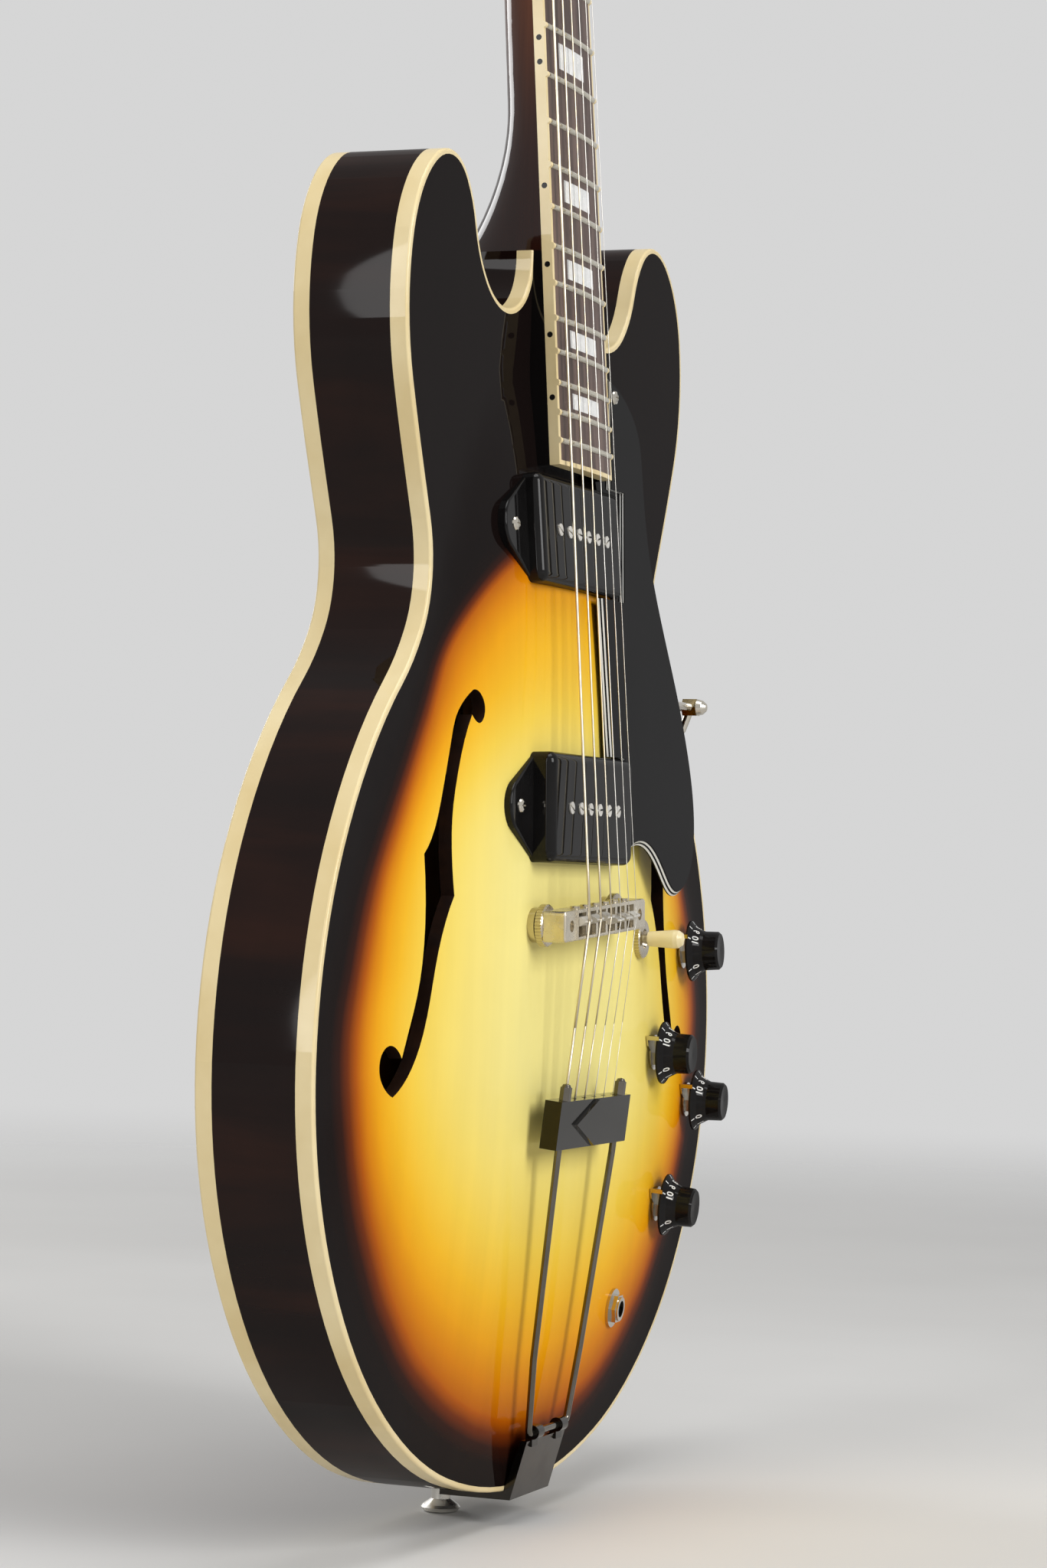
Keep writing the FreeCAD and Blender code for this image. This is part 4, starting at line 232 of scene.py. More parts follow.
def maple_grain(p, strength):
    """Fine lengthwise streaks and cloudy mottling of laminated maple, from 1 down by the strength."""
    streak = p.noise(38.0, detail=5.0, rough=0.6, vector=lengthwise(p, 0.05), distort=0.4)
    cloud = p.noise(26.0, vector=lengthwise(p, 0.45), distort=0.6)
    both = p.calc("ADD", p.calc("MULTIPLY", streak, 0.6), p.calc("MULTIPLY", cloud, 0.4))
    return p.ease(both, *NOISE_BAND, 1.0 - strength, 1.0, soft=False)


def orange_peel(p):
    """The slight waviness of sprayed lacquer."""
    p.bump(p.noise(900.0, detail=2.0), distance=0.00002, strength=0.15)


def make_top():
    p = Paint("sunburst_lacquer", Coat_Weight=0.16, Coat_Roughness=COAT_SHINE, Specular_IOR_Level=0.0)
    tone = p.ramp(burst(p), [
        (0.0, srgb(20, 14, 13)), (0.11, srgb(24, 15, 13)), (0.17, srgb(50, 22, 13)), (0.22, srgb(112, 47, 11)),
        (0.27, srgb(178, 88, 8)), (0.32, srgb(218, 132, 10)), (0.38, srgb(240, 166, 20)),
        (0.46, srgb(248, 190, 40)), (0.58, srgb(250, 212, 78)), (0.72, srgb(251, 226, 114)),
        (0.95, srgb(252, 238, 150))])
    p.colour(shade(p, tone, maple_grain(p, 0.12)))
    p.rough(0.32)
    orange_peel(p)
    return p.mat


def make_dark_lacquer(name, glow):
    """Dark brown lacquer with a faint figure; with glow, the middle of the plate gets lighter."""
    p = Paint(name, Coat_Weight=0.32, Coat_Roughness=COAT_SHINE, Specular_IOR_Level=0.0)
    flame = p.noise(22.0, detail=4.0, rough=0.55, vector=p.place((1, 0.12, 1)), distort=0.8)
    base = p.ramp(flame, [(0.30, srgb(16, 10, 9)), (0.52, srgb(27, 14, 11)), (0.75, srgb(48, 24, 15))])
    if glow:
        centre = p.ramp(arch_fill(p), [
            (0.1, srgb(20, 12, 11)), (0.35, srgb(58, 25, 13)), (0.8, srgb(98, 46, 20))])
        base = p.mix(0.72, base, centre)
    p.colour(shade(p, base, maple_grain(p, 0.25)))
    p.rough(0.3)
    orange_peel(p)
    return p.mat


def make_inner_wood():
    p = Paint("bare_maple", Specular_IOR_Level=0.3)
    grain = p.noise(30.0, detail=5.0, rough=0.6, vector=lengthwise(p, 0.06), distort=0.5)
    p.colour(p.ramp(grain, [(0.3, srgb(150, 116, 78)), (0.6, srgb(182, 148, 104)), (0.8, srgb(196, 164, 120))]))
    p.rough(0.7)
    fibres = p.noise(220.0, detail=4.0, rough=0.6, vector=lengthwise(p, 0.05))
    p.bump(fibres, distance=0.0001, strength=0.4)
    return p.mat


# Heights on the neck in metres, between which one colour goes over into the next
HEEL_TO_NECK = (0.482, 0.60)
FILLER_EDGE = (0.4586, 0.4594)


def make_neck_wood():
    """Brown mahogany that darkens into the heel, with the part over the body in black."""
    p = Paint("mahogany_lacquer", Coat_Weight=0.7, Coat_Roughness=0.04, Specular_IOR_Level=0.0)
    z = p.xyz()[2]
    pores = p.noise(70.0, detail=6.0, rough=0.65, vector=lengthwise(p, 0.035), distort=0.3)
    wood = p.ramp(pores, [(0.30, srgb(62, 30, 17)), (0.5, srgb(96, 50, 27)), (0.72, srgb(124, 70, 38))])
    dark = p.ramp(pores, [(0.30, srgb(28, 13, 10)), (0.7, srgb(46, 21, 14))])
    tone = p.mix(p.ease(z, *HEEL_TO_NECK), dark, wood)
    tone = p.mix(p.ease(z, *FILLER_EDGE, soft=False), srgb(14, 12, 12), tone)
    p.colour(tone)
    p.rough(0.32)
    p.bump(pores, distance=0.00003, strength=0.2)
    return p.mat


def make_rosewood():
    p = Paint("rosewood", Specular_IOR_Level=0.4)
    streak = p.noise(120.0, detail=6.0, rough=0.65, vector=lengthwise(p, 0.03), distort=0.5)
    broad = p.noise(40.0, vector=lengthwise(p, 0.05))
    tone = p.ramp(streak, [(0.28, srgb(44, 32, 29)), (0.5, srgb(86, 65, 57)), (0.74, srgb(122, 95, 82))])
    p.colour(shade(p, tone, p.ease(broad, *NOISE_BAND, 0.72, 1.0)))
    p.rough(p.ease(streak, *NOISE_BAND, 0.5, 0.34))
    p.bump(streak, distance=0.0001, strength=0.5)
    return p.mat


# Plastics

PLASTIC_SHEEN = 0.3


def make_plastic(name, colours, low, high, scale, coat=0.6):
    """Moulded or sheet plastic with a slight drift of colour and fine handling marks."""
    sheen = max(PLASTIC_SHEEN - coat, 0.0)
    p = Paint(name, Coat_Weight=coat, Coat_Roughness=COAT_SHINE, Specular_IOR_Level=sheen)
    drift = p.noise(scale, detail=4.0, rough=0.55)
    p.colour(p.ramp(drift, [(0.32, colours[0]), (0.68, colours[1])]))
    smudged(p, low, high, 90.0)
    p.bump(p.noise(1500.0, detail=2.0), distance=0.000015, strength=0.2)
    return p.mat


def make_pearl():
    """Pearloid: pale clouds with bright flakes."""
    p = Paint("pearloid", Coat_Weight=0.8, Coat_Roughness=0.05, Specular_IOR_Level=0.6)
    swirl = p.noise(240.0, detail=4.0, rough=0.6, distort=1.6)
    p.colour(p.ramp(swirl, [
        (0.3, srgb(210, 211, 210)), (0.5, srgb(234, 234, 232)), (0.7, srgb(246, 246, 245))]))
    p.rough(p.ease(swirl, *NOISE_BAND, 0.32, 0.14))
    return p.mat


# The guard's face at its lower end, its rise along its length, and its thickness
GUARD_LOW_Y, GUARD_LOW_Z = -39.5, 222.0
GUARD_TILT = math.atan2(6.7, 197.0)
GUARD_T = 2.6
GUARD_BLACK, GUARD_PALE = srgb(15, 14, 15), srgb(228, 228, 224)


def make_guard():
    """Laminated sheet: black faces with pale plies that show on the bevelled edge."""
    p = Paint("guard_laminate", Coat_Weight=0.24, Coat_Roughness=COAT_SHINE, Specular_IOR_Level=0.0)
    _, y, z = p.xyz()
    deep = p.calc("MULTIPLY", p.calc("SUBTRACT", y, GUARD_LOW_Y * MM), math.cos(GUARD_TILT))
    along = p.calc("MULTIPLY", p.calc("SUBTRACT", z, GUARD_LOW_Z * MM), math.sin(GUARD_TILT))
    depth = p.calc("MULTIPLY", p.calc("SUBTRACT", deep, along), 1.0 / (GUARD_T * MM))
    plies = p.ramp(depth, [
        (0.0, GUARD_BLACK), (0.16, GUARD_PALE), (0.36, GUARD_BLACK), (0.56, GUARD_PALE), (0.78, GUARD_BLACK)],
        stepped=True)
    p.colour(shade(p, plies, p.ease(p.noise(30.0, detail=4.0), *NOISE_BAND, 0.85, 1.0)))
    smudged(p, 0.06, 0.16, 30.0)
    return p.mat


# Metals

def make_metal(name, colour, low, high, scale, tarnish, grain=None, metallic=1.0):
    """Metal with smudges and darker tarnish in patches; grain is the scale of a fine unevenness."""
    p = Paint(name, Metallic=metallic)
    patch = p.ease(p.noise(scale, detail=5.0, rough=0.6), *PATCH_BAND, 1.0, 1.0 - tarnish)
    p.colour(shade(p, colour, patch))
    smudged(p, low, high, scale * 1.7)
    if grain:
        p.bump(p.noise(grain, rough=0.6), distance=0.00002, strength=0.3)
    return p.mat


# Spacing of a winding in metres, its depth as a share of that, and the wave node's rate in radians
WINDING_PITCH = 0.0003
WINDING_DEPTH = 0.3
WAVE_RATE = 20.0


def make_string_metal(name, colour, pitch=None):
    """Plain wire, or a wound string where the winding's spacing is given."""
    p = Paint(name, Metallic=1.0)
    p.colour(shade(p, colour, p.ease(p.noise(45.0), *NOISE_BAND, 0.9, 1.0)))
    p.rough(p.ease(p.noise(60.0, detail=2.0), *NOISE_BAND, 0.3, 0.42))
    if pitch:
        wave = p.node("ShaderNodeTexWave", wave_type="BANDS", bands_direction="Z")
        p.feed(wave.inputs["Vector"], p.place())
        wave.inputs["Scale"].default_value = 1.0 / (WAVE_RATE * pitch) * 2.0 * math.pi
        p.bump(wave.outputs["Fac"], distance=pitch * WINDING_DEPTH, strength=0.05)
    return p.mat


NICKEL = srgb(206, 200, 188)
WARM_NICKEL = srgb(196, 186, 166)

# Woods, pearl and laminate
sunburst = make_top()
rim_brown = make_dark_lacquer("rim_lacquer", False)
back_brown = make_dark_lacquer("back_lacquer", True)
bare_wood = make_inner_wood()
mahogany = make_neck_wood()
rosewood = make_rosewood()
pearl = make_pearl()
guard = make_guard()

# Plastics: darker and lighter colour, roughness from and to, scale of the drift, weight of the clear coat
cream = make_plastic("cream_binding", (srgb(222, 200, 148), srgb(236, 218, 172)), 0.14, 0.28, 24.0)
board_cream = make_plastic("board_binding", (srgb(224, 202, 150), srgb(238, 220, 176)), 0.16, 0.3, 30.0)
tip_cream = make_plastic("switch_tip", (srgb(232, 214, 164), srgb(240, 226, 184)), 0.12, 0.22, 60.0)
bone = make_plastic("bone", (srgb(222, 214, 190), srgb(236, 230, 212)), 0.3, 0.42, 120.0, 0.2)
cover_black = make_plastic("cover_black", (srgb(15, 14, 14), srgb(24, 23, 23)), 0.07, 0.16, 50.0, 0.4)
knob_black = make_plastic("knob_black", (srgb(16, 15, 15), srgb(26, 24, 24)), 0.06, 0.14, 70.0, 0.3)
veneer_black = make_plastic("headstock_black", (srgb(13, 12, 12), srgb(22, 20, 20)), 0.06, 0.14, 30.0, 1.0)
dot_black = make_plastic("side_dot_black", (srgb(14, 13, 13), srgb(24, 22, 22)), 0.2, 0.35, 90.0, 0.2)
rod_cover_black = make_plastic("rod_cover_black", (srgb(17, 16, 16), srgb(27, 25, 25)), 0.06, 0.14, 60.0, 1.0)
coil_tape = make_plastic("coil_tape", (srgb(38, 24, 16), srgb(66, 40, 24)), 0.45, 0.6, 90.0, 0.0)
switch_black = make_plastic("switch_body", (srgb(28, 27, 26), srgb(44, 42, 40)), 0.4, 0.55, 90.0, 0.0)
figure_white = make_plastic("knob_figures", (srgb(206, 208, 208), srgb(232, 233, 232)), 0.3, 0.45, 200.0, 0.0)
f_hole_edge = make_plastic("f_hole_edge", (srgb(24, 15, 12), srgb(40, 24, 16)), 0.4, 0.55, 120.0, 0.2)

# Metals: colour, roughness from and to, scale of the patches, depth of the tarnish
fret_metal = make_metal("fret_nickel", srgb(214, 208, 192), 0.16, 0.30, 140.0, 0.1)
nickel = make_metal("polished_nickel", NICKEL, 0.07, 0.18, 70.0, 0.12)
worn_nickel = make_metal("worn_nickel", WARM_NICKEL, 0.10, 0.24, 90.0, 0.22)
knurled_nickel = make_metal("knurled_nickel", WARM_NICKEL, 0.14, 0.30, 110.0, 0.25)
# The tailpiece bracket's near-black colour is painted dark reflection: nickel darkened to stand in for mirrored
# dark surroundings.
bracket_painted_dark = make_metal("tail_bracket_nickel", srgb(66, 63, 59), 0.1, 0.24, 60.0, 0.3)
tuner_nickel = make_metal("tuner_nickel", NICKEL, 0.06, 0.16, 60.0, 0.1)
pole_nickel = make_metal("pole_nickel", srgb(236, 233, 226), 0.3, 0.44, 200.0, 0.15, metallic=0.75)
saddle_nickel = make_metal("saddle_nickel", srgb(230, 225, 214), 0.26, 0.4, 160.0, 0.2, metallic=0.8)
# The tailpiece bar's near-black colour is painted dark reflection: polished nickel darkened to stand in for
# mirrored dark surroundings.
bar_painted_dark = make_metal("tail_bar_painted_reflection", srgb(56, 54, 51), 0.05, 0.14, 60.0, 0.2)
# The tailpiece rods' dim grey colour is painted dark reflection: nickel darkened so the rods read as dark
# lines, as if mirroring dark surroundings.
tail_rods_painted_dark = make_metal("tail_rods_painted_dark", srgb(112, 107, 99), 0.06, 0.16, 60.0, 0.2)
button_nickel = make_metal("strap_button_nickel", srgb(228, 225, 218), 0.24, 0.36, 90.0, 0.12, metallic=0.85)
bridge_nickel = make_metal("bridge_nickel", srgb(214, 205, 186), 0.2, 0.34, 110.0, 0.22, metallic=0.9)
steel = make_metal("rod_steel", srgb(150, 148, 144), 0.25, 0.4, 80.0, 0.25, grain=500.0)
brass = make_metal("rod_nut_brass", srgb(200, 164, 92), 0.2, 0.34, 120.0, 0.2)
pot_metal = make_metal("pot_can", srgb(170, 168, 160), 0.25, 0.4, 70.0, 0.2, grain=400.0)
wound = make_string_metal("wound_string", srgb(218, 208, 186), WINDING_PITCH)
plain = make_string_metal("plain_string", srgb(226, 223, 215))


# Finish of the solids: limits between materials, in metres or as part of a face's normal

SMOOTH_BELOW = math.radians(28.0)
FACING = 0.5
SIDE_DOT_X = -0.018
TIP_FROM = 0.00415
SWITCH_BODY_FROM = 0.0002
RAY_STEP = 0.0001
RAY_HITS = 12


def dress(name, *materials, choose=None):
    """Puts materials on a solid; choose gives the material's number from a face's middle and normal.
    Faces that meet at a small angle are shaded smooth."""
    mesh = nodes[name].data
    mesh.materials.clear()
    for material in materials:
        mesh.materials.append(material)
    for polygon in mesh.polygons:
        polygon.material_index = choose(polygon.center, polygon.normal) if choose else 0
        polygon.use_smooth = True
    mesh.set_sharp_from_angle(angle=SMOOTH_BELOW)


def arch_y(x, z):
    """Front of the arched top at a point, in millimetres."""
    step = min(max((z - LOWER_Z) / (WAIST_Z - LOWER_Z), 0), 1)
    half = LOWER_HALF_W + (WAIST_HALF_W - LOWER_HALF_W) * step * step * (3 - 2 * step)
    if z < CROWN_Z:
        along = ((CROWN_Z - z) / REACH_DOWN) ** POWER_DOWN
    else:
        along = ((z - CROWN_Z) / REACH_UP) ** POWER_UP
    fill = max(1 - (x / half) ** 2 - along, 0)
    return FRONT_Y - ARCH_H * (1 + ARCH_SOFT) * fill * fill / (fill + ARCH_SOFT)


def seat(x, z):
    """Frame in metres at a point of the top: local -y is square to the surface."""
    slope_x = (arch_y(x + 1, z) - arch_y(x - 1, z)) / 2
    slope_z = (arch_y(x, z + 1) - arch_y(x, z - 1)) / 2
    normal = Vector((slope_x, -1, slope_z)).normalized()
    turn = Vector((0, -1, 0)).rotation_difference(normal).to_matrix().to_4x4()
    return Matrix.Translation(Vector((x, arch_y(x, z), z)) * MM) @ turn


def top_faces(_, normal):
    """Lacquer outside, bare wood inside, dark edge in the sound holes."""
    if abs(normal.y) < FACING:
        return 2
    return 0 if normal.y < 0 else 1


def back_faces(_, normal):
    """Lacquer outside, bare wood inside."""
    return 0 if normal.y > FACING else 1


rim_mesh = nodes["rim_sides"].data
rim_tree = BVHTree.FromPolygons(
    [vertex.co for vertex in rim_mesh.vertices], [polygon.vertices[:] for polygon in rim_mesh.polygons])


def rim_faces(middle, normal):
    """Bare wood on the inner skin: a ray from it crosses an odd number of walls, with two hits each."""
    start = middle + normal * RAY_STEP
    hits = 0
    while hits < RAY_HITS:
        found = rim_tree.ray_cast(start, normal)[0]
        if found is None:
            break
        hits += 1
        start = found + normal * RAY_STEP
    return (hits // 2) % 2


def marker_faces(middle, _):
    """Pearl on the block inlays, black on the dots in the bass side of the binding."""
    return 1 if middle.x < SIDE_DOT_X else 0


to_switch = seat(85.5, 204.5).inverted()


def lever_faces(middle, _):
    """Cream on the moulded tip, metal on the lever rod."""
    return 0 if -(to_switch @ middle).y > TIP_FROM else 1


def switch_faces(middle, _):
    """Metal nut above the top, dark body below."""
    return 0 if (to_switch @ middle).y < SWITCH_BODY_FROM else 1


dress("top_plate", sunburst, bare_wood, f_hole_edge, choose=top_faces)
dress("back_plate", back_brown, bare_wood, choose=back_faces)
dress("rim_sides", rim_brown, bare_wood, choose=rim_faces)
dress("position_markers", pearl, dot_black, choose=marker_faces)
dress("switch_lever", tip_cream, nickel, choose=lever_faces)
dress("selector_switch", knurled_nickel, switch_black, choose=switch_faces)
ONE_MATERIAL = {
    "body_bindings": cream, "linings_and_tone_bars": bare_wood, "body_blocks": bare_wood,
    "neck": mahogany, "headstock_veneer": veneer_black, "fingerboard": rosewood,
    "fingerboard_binding": board_cream, "frets": fret_metal, "nut": bone,
    "truss_rod": steel, "truss_rod_nut": brass, "truss_rod_cover": rod_cover_black,
    "tuner_housings": tuner_nickel,
    "pickup_covers": cover_black, "pickup_coils": coil_tape, "pole_screws": pole_nickel,
    "pickguard": guard, "guard_bracket": nickel,
    "bridge_studs": worn_nickel, "bridge_body": bridge_nickel, "saddle_screws": worn_nickel,
    "bass_thumbwheel": knurled_nickel, "treble_thumbwheel": knurled_nickel,
    "tailpiece_bar": bar_painted_dark, "tailpiece_rods": tail_rods_painted_dark, "tailpiece_bracket": bracket_painted_dark,
    "potentiometers": pot_metal, "dial_pointers": nickel, "output_jack": nickel,
    "strap_buttons": button_nickel, "fastening_screws": nickel}
for name, material in ONE_MATERIAL.items():
    dress(name, material)
for number in range(1, 7):
    dress("saddle_%d" % number, saddle_nickel)
    dress("tuner_post_%d" % number, tuner_nickel)
    dress("tuner_button_%d" % number, tuner_nickel)


# New pieces

TUBE_SIDES = 8


def add_mesh(name, points, faces, material, body=None):
    """A smooth mesh object, which rides a body where one is named."""
    mesh = bpy.data.meshes.new(name)
    mesh.from_pydata([tuple(p) for p in points], [], faces)
    mesh.validate()
    obj = bpy.data.objects.new(name, mesh)
    scene.collection.objects.link(obj)
    mesh.materials.append(material)
    for polygon in mesh.polygons:
        polygon.use_smooth = True
    if body:
        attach(obj, body)
    return obj


def tube(path, radius):
    """Points and faces of a closed round bar along a path, in metres."""
    points, faces = [], []
    count = len(path)
    side = None
    for i, p in enumerate(path):
        ahead = (path[min(i + 1, count - 1)] - path[max(i - 1, 0)]).normalized()
        if side is None:
            side = ahead.orthogonal().normalized()
        else:
            side = (side - ahead * side.dot(ahead)).normalized()
        up = ahead.cross(side)
        for k in range(TUBE_SIDES):
            turn = 2 * math.pi * k / TUBE_SIDES
            points.append(p + (side * math.cos(turn) + up * math.sin(turn)) * radius)
    for i in range(count - 1):
        for k in range(TUBE_SIDES):
            a = i * TUBE_SIDES + k
            b = i * TUBE_SIDES + (k + 1) % TUBE_SIDES
            faces.append((a, b, b + TUBE_SIDES, a + TUBE_SIDES))
    faces.append(tuple(range(TUBE_SIDES - 1, -1, -1)))
    faces.append(tuple(range((count - 1) * TUBE_SIDES, count * TUBE_SIDES)))
    return points, faces


def joined(parts):
    """One list of points and faces from several."""
    points, faces = [], []
    for some_points, some_faces in parts:
        base = len(points)
        points += some_points
        faces += [tuple(base + i for i in face) for face in some_faces]
    return points, faces


# Strings, from the bass side, in the neck's, headstock's and tailpiece's frames

def turn_x(degrees):
    return Matrix.Rotation(math.radians(degrees), 4, "X")


NECK = Matrix.Translation(Vector((0, -48.9, 214.0))) @ turn_x(-4.43)
HEAD = NECK @ Matrix.Translation(Vector((0, 4.0, 629.0))) @ turn_x(-15.0)
TRAPEZE = Matrix.Translation(Vector((0, -30.4, 22.5))) @ turn_x(6.05)
STRING_R = (0.585, 0.455, 0.33, 0.215, 0.165, 0.127)
WOUND_STRINGS = 3
BRIDGE_SPREAD, NUT_SPREAD = 52.0, 36.0
BOARD_DOUBLE_R = 610.0
BALL_Y, BALL_Z = 0.4, 111.54
SADDLE_Y = -2.9
SADDLE_SHIFT = (-2.4, -1.6, -0.8, -1.8, -1.0, -0.2)
NUT_Y, NUT_Z = -1.7, 624.0
POSTS = ((-25.0, 48.0), (-26.5, 90.0), (-28.0, 132.0), (28.0, 132.0), (26.5, 90.0), (25.0, 48.0))
POST_R = 3.06
POST_WAIST = 2.5
STRING_H = 9.0
WRAP_TURNS_WOUND, WRAP_TURNS_PLAIN = 3.5, 5.0
WRAP_STEPS = 16
WRAP_GAP = 0.02
WRAP_PITCH = 2.05


def string_points(i):
    """Ball end, middle behind the bridge, saddle, nut and post points of a string, in metres."""
    x = BRIDGE_SPREAD * (i / 5.0 - 0.5)
    n = NUT_SPREAD * (i / 5.0 - 0.5)
    ball = (TRAPEZE @ Vector((x, BALL_Y, BALL_Z))) * MM
    saddle = (NECK @ Vector((x, x * x / BOARD_DOUBLE_R + SADDLE_Y, SADDLE_SHIFT[i]))) * MM
    nut = (NECK @ Vector((n, n * n / BOARD_DOUBLE_R + NUT_Y, NUT_Z))) * MM
    px, pz = POSTS[i]
    inner = abs(px) - POST_R - STRING_R[i]
    post = (HEAD @ Vector((math.copysign(inner, px), -STRING_H, pz))) * MM
    return ball, (ball + saddle) / 2, saddle, nut, post


def string_material(i):
    return wound if i < WOUND_STRINGS else plain


def string_piece(name, run):
    """One run of all strings as meshes, grouped by material; run picks its path from a string's points."""
    groups = {}
    for i in range(6):
        groups.setdefault(string_material(i), []).append(tube(run(*string_points(i)), STRING_R[i] * MM))
    made = []
    for material, parts in groups.items():
        points, faces = joined(parts)
        made.append(add_mesh("%s_%s" % (name, material.name), points, faces, material))
    return made


def main_run(ball, middle, saddle, nut, post):
    return [saddle, saddle.lerp(nut, 0.03), saddle.lerp(nut, 0.5), nut]


def after_run(ball, middle, saddle, nut, post):
    return [middle, saddle.lerp(middle, 0.5), saddle]


def tail_run(ball, middle, saddle, nut, post):
    return [ball, ball.lerp(middle, 0.5), middle]


def head_run(ball, middle, saddle, nut, post):
    return [nut, post]


# A blend crosses one joint, so the run between tailpiece and bridge is in two pieces that meet on the guitar.
for obj in string_piece("strings_main", main_run):
    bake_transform(obj)
    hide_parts("strings")
for obj in string_piece("strings_after", after_run):
    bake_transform(obj)
for obj in string_piece("strings_tail", tail_run):
    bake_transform(obj)
for obj in string_piece("strings_head", head_run):
    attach(obj, "guitar")


def post_wraps(i):
    """A few turns of string wound down a tuner post."""
    px, pz = POSTS[i]
    radius = STRING_R[i]
    turns = WRAP_TURNS_WOUND if i < WOUND_STRINGS else WRAP_TURNS_PLAIN
    start, way = (math.pi, 1) if px > 0 else (0.0, -1)
    ring = POST_WAIST + radius + WRAP_GAP
    steps = int(turns * WRAP_STEPS)
    path = []
    for k in range(steps + 1):
        angle = start - 2 * math.pi * turns * k / steps * way
        height = -STRING_H + WRAP_PITCH * radius * turns * (k / steps)
        path.append((HEAD @ Vector((px + ring * math.cos(angle), height, pz + ring * math.sin(angle)))) * MM)
    points, faces = tube(path, radius * MM)
    obj = add_mesh("string_wraps_%d" % (6 - i), points, faces, string_material(i), "tuner_post_%d" % (6 - i))


for i in range(6):
    post_wraps(i)


# Knobs: figures round the flared skirt, whose outline is given as radius and height

SKIRT = ((12.4, 4.9), (9.8, 6.8), (8.5, 9.2))
KNOBS = {
    "neck_volume_knob": (111.0, 159.0), "bridge_volume_knob": (132.0, 97.0),
    "neck_tone_knob": (157.0, 199.0), "bridge_tone_knob": (171.0, 137.5)}
POINTER_DEG = 152.0
FIGURE_STEP_DEG = 29.0
FIGURE_LAST = 10
FIGURE_SIZE = 4.0
FIGURE_UP = 3.95
FIGURE_LIFT = 0.07
FIGURE_BOLD = 0.02
FIGURE_CURVE_STEPS = 3
TICK_FROM, TICK_TO, TICK_HALF_W = 0.3, 2.0, 0.27
TICK_STEPS = 3


def skirt_point(length, lift):
    """Radius and height of a point at a length up the skirt's slope, raised off it."""
    for (r0, h0), (r1, h1) in zip(SKIRT, SKIRT[1:]):
        run = math.hypot(r1 - r0, h1 - h0)
        if length <= run or (r1, h1) == SKIRT[-1]:
            t = length / run
            nr, nh = (h1 - h0) / run, (r0 - r1) / run
            return r0 + (r1 - r0) * t + nr * lift, h0 + (h1 - h0) * t + nh * lift
        length -= run


def figure_mesh(text):
    """Flat outline of a figure as points and faces, centred, in millimetres."""
    curve = bpy.data.curves.new("figure", "FONT")
    curve.body = text
    curve.size = FIGURE_SIZE
    curve.align_x = "CENTER"
    curve.align_y = "CENTER"
    curve.resolution_u = FIGURE_CURVE_STEPS
    curve.offset = FIGURE_BOLD * FIGURE_SIZE
    obj = bpy.data.objects.new("figure", curve)
    scene.collection.objects.link(obj)
    bpy.context.view_layer.update()
    mesh = bpy.data.meshes.new_from_object(obj.evaluated_get(bpy.context.evaluated_depsgraph_get()))
    points = [tuple(vertex.co[:2]) for vertex in mesh.vertices]
    faces = [tuple(polygon.vertices) for polygon in mesh.polygons]
    bpy.data.objects.remove(obj)
    bpy.data.meshes.remove(mesh)
    bpy.data.curves.remove(curve)
    return points, faces


def tick_mesh():
    """Flat bar between a figure and the skirt's rim, in the figure's coordinates."""
    points, faces = [], []
    for k in range(TICK_STEPS + 1):
        up = TICK_FROM + (TICK_TO - TICK_FROM) * k / TICK_STEPS - FIGURE_UP
        points += [(-TICK_HALF_W, up), (TICK_HALF_W, up)]
        if k:
            faces.append((2 * k - 2, 2 * k - 1, 2 * k + 1, 2 * k))
    return points, faces


def knob_figures(name, place):
    """Figures 0 to 10 with their ticks round the skirt; 10 stands at the pointer."""
    frame_on_top = seat(*place)
    parts = []
    for figure in range(FIGURE_LAST + 1):
        flat, faces = joined([figure_mesh(str(figure)), tick_mesh()])
        angle = math.radians(POINTER_DEG - FIGURE_STEP_DEG * (FIGURE_LAST - figure))
        points = []
        for u, v in flat:
            r, h = skirt_point(FIGURE_UP + v, FIGURE_LIFT)
            turn = angle - u / r
            local = Vector((r * math.cos(turn), -h, r * math.sin(turn))) * MM
            points.append(frame_on_top @ local)
        parts.append((points, faces))
    points, faces = joined(parts)
    obj = add_mesh(name.replace("_knob", "_figures"), points, faces, figure_white, name)


for name, place in KNOBS.items():
    dress(name, knob_black)
    knob_figures(name, place)


# Floor, light and camera, in metres

FLOOR_Z = -0.0121
FLOOR_R = 2.8
FADE_FROM, FADE_TO = 0.9, 2.6
FLOOR_SIDES = 96


def make_floor():
    """Pale matt floor that fades out towards its rim, so that no edge shows against the background."""
    p = Paint("studio_floor", Specular_IOR_Level=0.2)
    p.colour(p.ramp(p.noise(3.0), [(0.3, srgb(216, 215, 213)), (0.7, srgb(222, 221, 219))]))
    p.rough(0.85)
    x, y, _ = p.xyz()
    away = p.calc("SQRT", p.calc("ADD", p.calc("MULTIPLY", x, x), p.calc("MULTIPLY", y, y)))
    p.feed(p.shader.inputs["Alpha"], p.ease(away, FADE_FROM, FADE_TO, 1.0, 0.0))
    return p.mat


def floor_disc():
    points = []
    for k in range(FLOOR_SIDES):
        turn = 2 * math.pi * k / FLOOR_SIDES
        points.append(Vector((FLOOR_R * math.cos(turn), FLOOR_R * math.sin(turn), FLOOR_Z)))
    return points, [tuple(range(FLOOR_SIDES))]


add_mesh("studio_floor", *floor_disc(), make_floor())


def softbox(name, place, aim, size, power):
    light = bpy.data.lights.new(name, "AREA")
    light.shape = "RECTANGLE"
    light.size, light.size_y = size
    light.energy = power
    obj = bpy.data.objects.new(name, light)
    scene.collection.objects.link(obj)
    obj.location = place
    obj.rotation_euler = (Vector(aim) - Vector(place)).to_track_quat("-Z", "Y").to_euler()


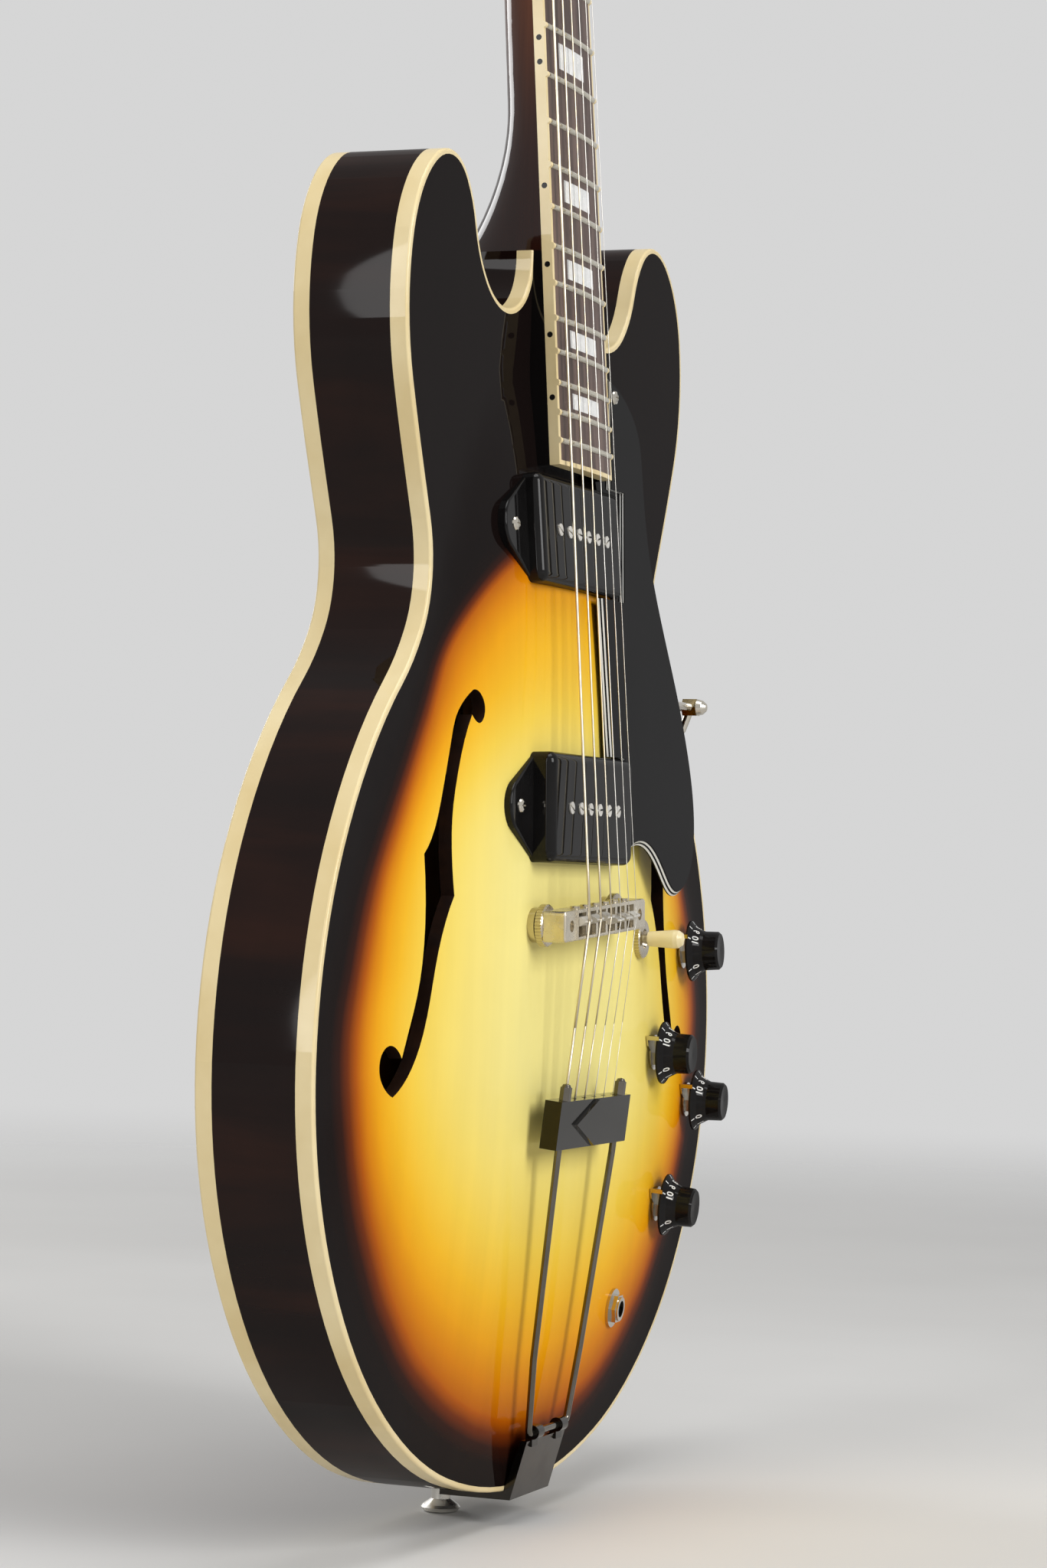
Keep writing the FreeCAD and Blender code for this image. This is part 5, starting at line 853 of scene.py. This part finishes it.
softbox("key", (-0.9, -2.4, 1.35), (0, 0, 0.25), (1.2, 1.6), 55.0)
softbox("fill", (-2.4, 0.6, 1.1), (0, 0, 0.25), (0.8, 1.8), 22.0)
softbox("top", (-0.3, -0.4, 2.6), (0, 0, 0.2), (1.6, 1.2), 26.0)
softbox("back", (1.1, 2.5, 1.5), (0, 0, 0.35), (1.2, 1.4), 30.0)

WORLD_COLOUR = srgb(236, 236, 236)
WORLD_LIGHT, WORLD_SEEN = 0.12, 0.8


def make_world():
    """Pale surroundings, brighter where seen, mirrored or looked through than as a light on the pieces."""
    world = bpy.data.worlds.new("studio")
    world.use_nodes = True
    tree = world.node_tree
    sky = tree.nodes["Background"]
    sky.inputs["Color"].default_value = WORLD_COLOUR
    rays = tree.nodes.new("ShaderNodeLightPath")
    seen = rays.outputs["Is Camera Ray"]
    for kind in ("Is Glossy Ray", "Is Transmission Ray"):
        either = tree.nodes.new("ShaderNodeMath")
        either.operation = "MAXIMUM"
        tree.links.new(seen, either.inputs[0])
        tree.links.new(rays.outputs[kind], either.inputs[1])
        seen = either.outputs[0]
    level = tree.nodes.new("ShaderNodeMapRange")
    level.inputs["To Min"].default_value = WORLD_LIGHT
    level.inputs["To Max"].default_value = WORLD_SEEN
    tree.links.new(seen, level.inputs["Value"])
    tree.links.new(level.outputs[0], sky.inputs["Strength"])
    return world


scene.world = make_world()
scene.view_settings.view_transform = "Standard"

# The photograph's camera: place and axes in the scene, focal length and picture height in pixels
CAMERA_AT = Vector((-1.365927, -0.540638, 0.224319))
CAMERA_RIGHT = Vector((0.35928953, -0.93275151, 0.02975995))
CAMERA_DOWN = Vector((0.03486357, -0.01845151, -0.99922173))
CAMERA_AHEAD = Vector((0.9325747, 0.36004744, 0.02588962))
FOCAL_PX, PICTURE_PX = 5089.376, 2048.0
SENSOR_MM = 36.0
CLIP_NEAR, CLIP_FAR = 0.05, 20.0

camera = bpy.data.cameras.new("camera")
camera.sensor_width = SENSOR_MM
camera.lens = FOCAL_PX / PICTURE_PX * SENSOR_MM
camera.clip_start, camera.clip_end = CLIP_NEAR, CLIP_FAR
view = bpy.data.objects.new("camera", camera)
scene.collection.objects.link(view)
camera_turn = Matrix((CAMERA_RIGHT, -CAMERA_DOWN, -CAMERA_AHEAD)).transposed().to_4x4()
view.matrix_world = Matrix.Translation(CAMERA_AT) @ camera_turn
scene.camera = view
